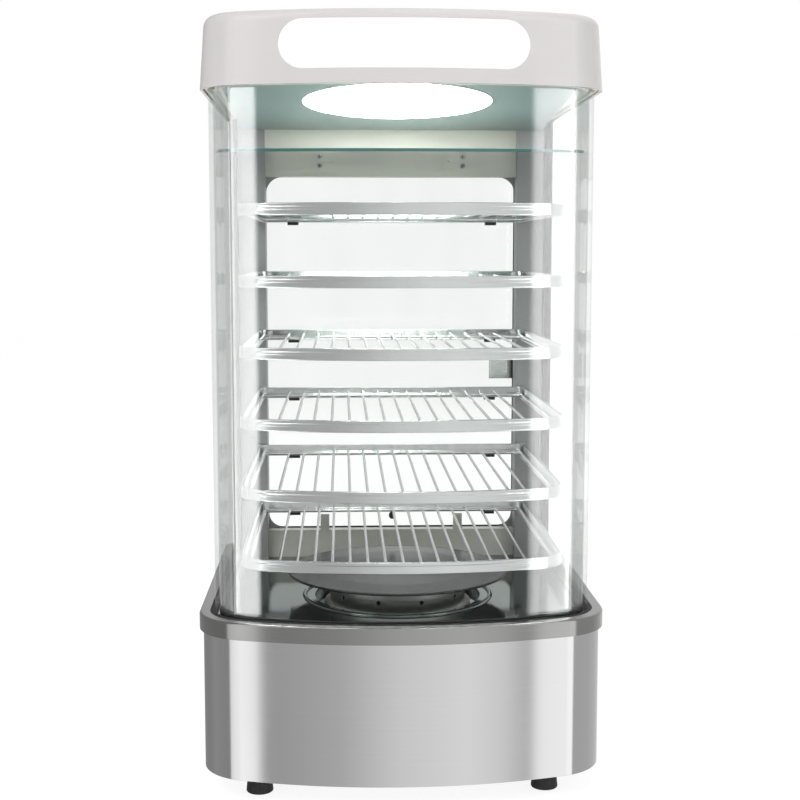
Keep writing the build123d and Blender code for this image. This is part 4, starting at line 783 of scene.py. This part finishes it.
CLAMP_SCREW_X = 87 * MM
CLAMP_SCREW_Z = 656 * MM
CLAMP_SCREW_HEAD = 1.8 * MM
CLAMP_SCREW_RADIUS = 3.2 * MM
CLAMP_PLATE_FRONT = 165.35 * MM
for side in (-1, 1):
    screw_recess(
        f"clamp_screw_recess_{side + 2}",
        side * CLAMP_SCREW_X,
        CLAMP_SCREW_Z,
        CLAMP_PLATE_FRONT - CLAMP_SCREW_HEAD,
        -1,
        CLAMP_SCREW_RADIUS,
    )

PANEL_SCREW_INSET = 4 * MM
PANEL_SCREW_HEAD = 1.8 * MM
PANEL_SCREW_RADIUS = 3.0 * MM
panel_screw_face = panel_high.y + PANEL_SCREW_HEAD
for number, (x, z) in enumerate(
    (x, z)
    for x in (panel_low.x + PANEL_SCREW_INSET, panel_high.x - PANEL_SCREW_INSET)
    for z in (panel_low.z + PANEL_SCREW_INSET, panel_high.z - PANEL_SCREW_INSET)
):
    screw_recess(
        f"panel_screw_recess_{number + 1}", x, z, panel_screw_face, 1, PANEL_SCREW_RADIUS
    )


def print_text(name, words, x, z, height):
    """Small printed words on the control panel."""
    curve = bpy.data.curves.new(name, "FONT")
    curve.body = words
    curve.size = height
    curve.align_x = "CENTER"
    curve.align_y = "CENTER"
    curve.extrude = PRINT / 2
    made = bpy.data.objects.new(name, curve)
    bpy.context.scene.collection.objects.link(made)
    made.rotation_euler = (math.pi / 2, 0, math.pi)
    made.location = (x, panel_high.y + PRINT, z)
    settle(made, "cabinet", "control_plastic")


# Scale round the dial: off at the top, then degrees clockwise
DIAL_RING = 20.5 * MM
DIAL_NUMBER_RING = 25.5 * MM
DIAL_FIRST = 45.0
DIAL_LAST = 270.0
DIAL_TICKS = 9
DIAL_LOWEST = 30
DIAL_STEP = 10
TICK_REACH = 1.2 * MM
TICK_HALF_WIDTH = 0.25 * MM
NUMBER_HEIGHT = 4 * MM
OFF_HEIGHT = 3.6 * MM
OFF_INSET = 2 * MM


def dial_place(degrees, ring):
    """Place on the dial's scale, clockwise from the top for someone behind the case."""
    turn = math.radians(degrees)
    return (knob_x - ring * math.sin(turn), knob_z + ring * math.cos(turn))


for number in range(DIAL_TICKS):
    degrees = DIAL_FIRST + (DIAL_LAST - DIAL_FIRST) * number / (DIAL_TICKS - 1)
    x0, z0 = dial_place(degrees, DIAL_RING - TICK_REACH)
    x1, z1 = dial_place(degrees, DIAL_RING + TICK_REACH)
    side = Vector((z1 - z0, x0 - x1)).normalized() * TICK_HALF_WIDTH
    outline = [
        (x0 - side.x, z0 - side.y),
        (x1 - side.x, z1 - side.y),
        (x1 + side.x, z1 + side.y),
        (x0 + side.x, z0 + side.y),
    ]
    low, high = panel_high.y, panel_high.y + PRINT
    tick = solid_bar(f"dial_tick_{number + 1}", outline, low, high, on_back)
    settle(tick, "cabinet", "control_plastic")
    if number % 2 == 0:
        x, z = dial_place(degrees, DIAL_NUMBER_RING)
        value = str(DIAL_LOWEST + DIAL_STEP * number)
        print_text(f"dial_number_{number + 1}", value, x, z, NUMBER_HEIGHT)
print_text("dial_off", "OFF", knob_x, knob_z + DIAL_NUMBER_RING - OFF_INSET, OFF_HEIGHT)

# Rocker switches: where the crowned face lies, and the marks on it
ROCKER_PIVOT = 0.5 * MM
ROCKER_TILT = -7.0
ROCKER_FACE_INSET = 1.5 * MM
ROCKER_FACE_RISE = 1.2 * MM
ROCKER_END_RISE = 0.8 * MM
ROCKER_HALF_LENGTH = 7.2 * MM
ON_MARK_HALF_WIDTH = 0.3 * MM
ON_MARK_LOW = 2.4 * MM
ON_MARK_HIGH = 5.4 * MM
OFF_MARK_DROP = 4 * MM
OFF_MARK_RADIUS = 1.6 * MM
OFF_MARK_WIDTH = 0.5 * MM


def make_rocker_marks(body):
    """White line and ring on the two halves of a rocker."""
    low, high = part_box(body)
    x = (low.x + high.x) / 2
    pivot_y, pivot_z = panel_high.y + ROCKER_PIVOT, knob_z
    tilt = math.radians(ROCKER_TILT)
    face = panel_high.y + ROCKER_FACE_INSET + ROCKER_FACE_RISE

    def tilted(u, v, height):
        """Point on the face of the tilted rocker."""
        rise = ROCKER_END_RISE * abs(v - pivot_z) / ROCKER_HALF_LENGTH
        y, z = face + rise + height - pivot_y, v - pivot_z
        return (
            u,
            pivot_y + y * math.cos(tilt) - z * math.sin(tilt),
            pivot_z + y * math.sin(tilt) + z * math.cos(tilt),
        )

    line = rectangle(x, pivot_z, ON_MARK_HALF_WIDTH, ON_MARK_LOW, ON_MARK_HIGH)
    mark = solid_bar(f"{body}_on_mark", line, -PRINT, PRINT, tilted)
    settle(mark, body, "rocker_plastic", look="print_white")
    ring = [(-OFF_MARK_WIDTH, -PRINT), (-OFF_MARK_WIDTH, PRINT), (0, PRINT), (0, -PRINT)]

    def ring_outline(inset):
        """Outline of the ring, moved outward."""
        return disc_outline(x, pivot_z - OFF_MARK_DROP, OFF_MARK_RADIUS + inset)

    mark = sweep(f"{body}_off_mark", ring_outline, ring, tilted)
    settle(mark, body, "rocker_plastic", look="print_white")


make_rocker_marks("heater_rocker")
make_rocker_marks("lamp_rocker")


# Camera: place in metres, turns in radians, lens in millimetres
CAMERA_PLACE = Vector((-0.0603, -1.5631, 0.5500))
CAMERA_PITCH = 0.1042
CAMERA_YAW = 0.0411
CAMERA_LENS = 63.12
CAMERA_SENSOR = 36.0
camera = bpy.data.objects.new("camera", bpy.data.cameras.new("camera"))
bpy.context.scene.collection.objects.link(camera)
forward = Vector(
    (
        math.sin(CAMERA_YAW) * math.cos(CAMERA_PITCH),
        math.cos(CAMERA_YAW) * math.cos(CAMERA_PITCH),
        -math.sin(CAMERA_PITCH),
    )
)
camera.rotation_mode = "QUATERNION"
camera.rotation_quaternion = forward.to_track_quat("-Z", "Y")
camera.location = CAMERA_PLACE
camera.data.lens = CAMERA_LENS
camera.data.sensor_width = CAMERA_SENSOR
bpy.context.scene.camera = camera

# Studio: what mirrors see by compass direction, in degrees to the right of the front
METAL_LIGHTS = (
    (-180, 0.72), (-172, 0.62), (-160, 0.36), (-104, 0.38), (-62, 0.34), (-60, 1.12),
    (-35, 1.50), (-33, 0.46), (-13, 0.62), (1, 0.92), (18, 1.08), (27, 0.95), (34, 0.64),
    (36, 1.30), (57, 1.55), (59, 0.56), (104, 0.58), (132, 0.78), (155, 0.85), (180, 0.72),
)
GLASS_LIGHTS = (
    (-180, 1.0), (-168, 0.95), (-155, 0.50), (-100, 0.50), (-66, 0.55), (-65, 17.0),
    (-35, 17.0), (-34, 0.2), (34, 0.2), (35.5, 13.0), (68, 14.0), (70, 0.55), (100, 0.45),
    (155, 0.45), (168, 0.95), (180, 1.0),
)
SKY_FOR_MATT = 0.5


def by_direction(tree, azimuth, lights):
    """Brightness around the horizon, blended between the given directions."""
    top = max(light for _, light in lights)
    ramp = node(tree, "ShaderNodeValToRGB", {"Fac": azimuth})
    stops = ramp.color_ramp.elements
    while len(stops) > 1:
        stops.remove(stops[-1])
    for number, (degrees, light) in enumerate(lights):
        place = degrees / 360 + 0.5
        stop = stops[0] if number == 0 else stops.new(place)
        stop.position = place
        stop.color = (light / top, light / top, light / top, 1.0)
    return calculate(tree, "MULTIPLY", ramp.outputs["Color"], top)


def make_world():
    """White to the camera, softboxes and dark studio to mirrors, plain light to the rest."""
    world = bpy.data.worlds.new("studio")
    bpy.context.scene.world = world
    world.use_nodes = True
    tree = world.node_tree
    direction = node(tree, "ShaderNodeTexCoord").outputs["Generated"]
    from_front = node(
        tree,
        "ShaderNodeVectorRotate",
        {"Vector": direction, "Angle": math.pi / 2},
        rotation_type="Z_AXIS",
    )
    round_the_case = node(
        tree, "ShaderNodeTexGradient", {"Vector": from_front.outputs[0]}, gradient_type="RADIAL"
    )
    azimuth = round_the_case.outputs["Fac"]
    path = node(tree, "ShaderNodeLightPath")
    seen = blend_values(tree, seen_straight(tree, path), SKY_FOR_MATT, 1.0)
    mirrored = blend_values(
        tree,
        path.outputs["Is Singular Ray"],
        by_direction(tree, azimuth, METAL_LIGHTS),
        by_direction(tree, azimuth, GLASS_LIGHTS),
    )
    strength = blend_values(tree, path.outputs["Is Glossy Ray"], seen, mirrored)
    background = tree.nodes["Background"]
    background.inputs["Color"].default_value = (1.0, 1.0, 1.0, 1.0)
    tree.links.new(strength, background.inputs["Strength"])


make_world()

# Floor paper: white to the camera but for the shadow on it
FLOOR_GLOW_SHARE = 0.7
FLOOR_GLOW = 1.22
FLOOR_HALF = 8


def floor_material():
    """White paper that keeps the object's shadow."""
    material, tree, shader = start_material("floor paper")
    shader.inputs["Base Color"].default_value = (0.9, 0.9, 0.9, 1.0)
    shader.inputs["Roughness"].default_value = 0.9
    white = node(tree, "ShaderNodeEmission", {"Color": (1, 1, 1, 1), "Strength": FLOOR_GLOW})
    path = node(tree, "ShaderNodeLightPath")
    share = calculate(tree, "MULTIPLY", seen_straight(tree, path), FLOOR_GLOW_SHARE)
    whole = mix_inputs(
        node(tree, "ShaderNodeMixShader"), share, shader.outputs[0], white.outputs[0]
    )
    tree.links.new(whole, tree.nodes["Material Output"].inputs["Surface"])
    return material


floor_corners = [
    (x * FLOOR_HALF, y * FLOOR_HALF, 0) for x, y in ((-1, -1), (1, -1), (1, 1), (-1, 1))
]
floor = link_mesh("floor", floor_corners, [(0, 1, 2, 3)])
dress(floor, floor_material())
floor.visible_glossy = False


# Soft square lights that all look at the middle of the case: name, place, size, power
LIGHT_TARGET = Vector((0, 0, 0.4))
AREA_LIGHTS = (
    ("key", (-1.6, -2.2, 2.4), 1.6, 34.0),
    ("fill", (2.2, -1.6, 1.6), 1.6, 16.0),
    ("top", (0, 0.3, 3.0), 2.0, 15.0),
    ("back", (0.6, 2.6, 1.8), 1.8, 18.0),
)


def area_light(name, place, size, power):
    """Soft square light, unseen by mirrors."""
    lamp = bpy.data.lights.new(name, "AREA")
    lamp.size = size
    lamp.energy = power
    made = bpy.data.objects.new(name, lamp)
    made.location = place
    made.rotation_mode = "QUATERNION"
    made.rotation_quaternion = (LIGHT_TARGET - Vector(place)).to_track_quat("-Z", "Y")
    bpy.context.scene.collection.objects.link(made)
    made.visible_glossy = False


for light in AREA_LIGHTS:
    area_light(*light)

bpy.context.scene.view_settings.view_transform = "Standard"
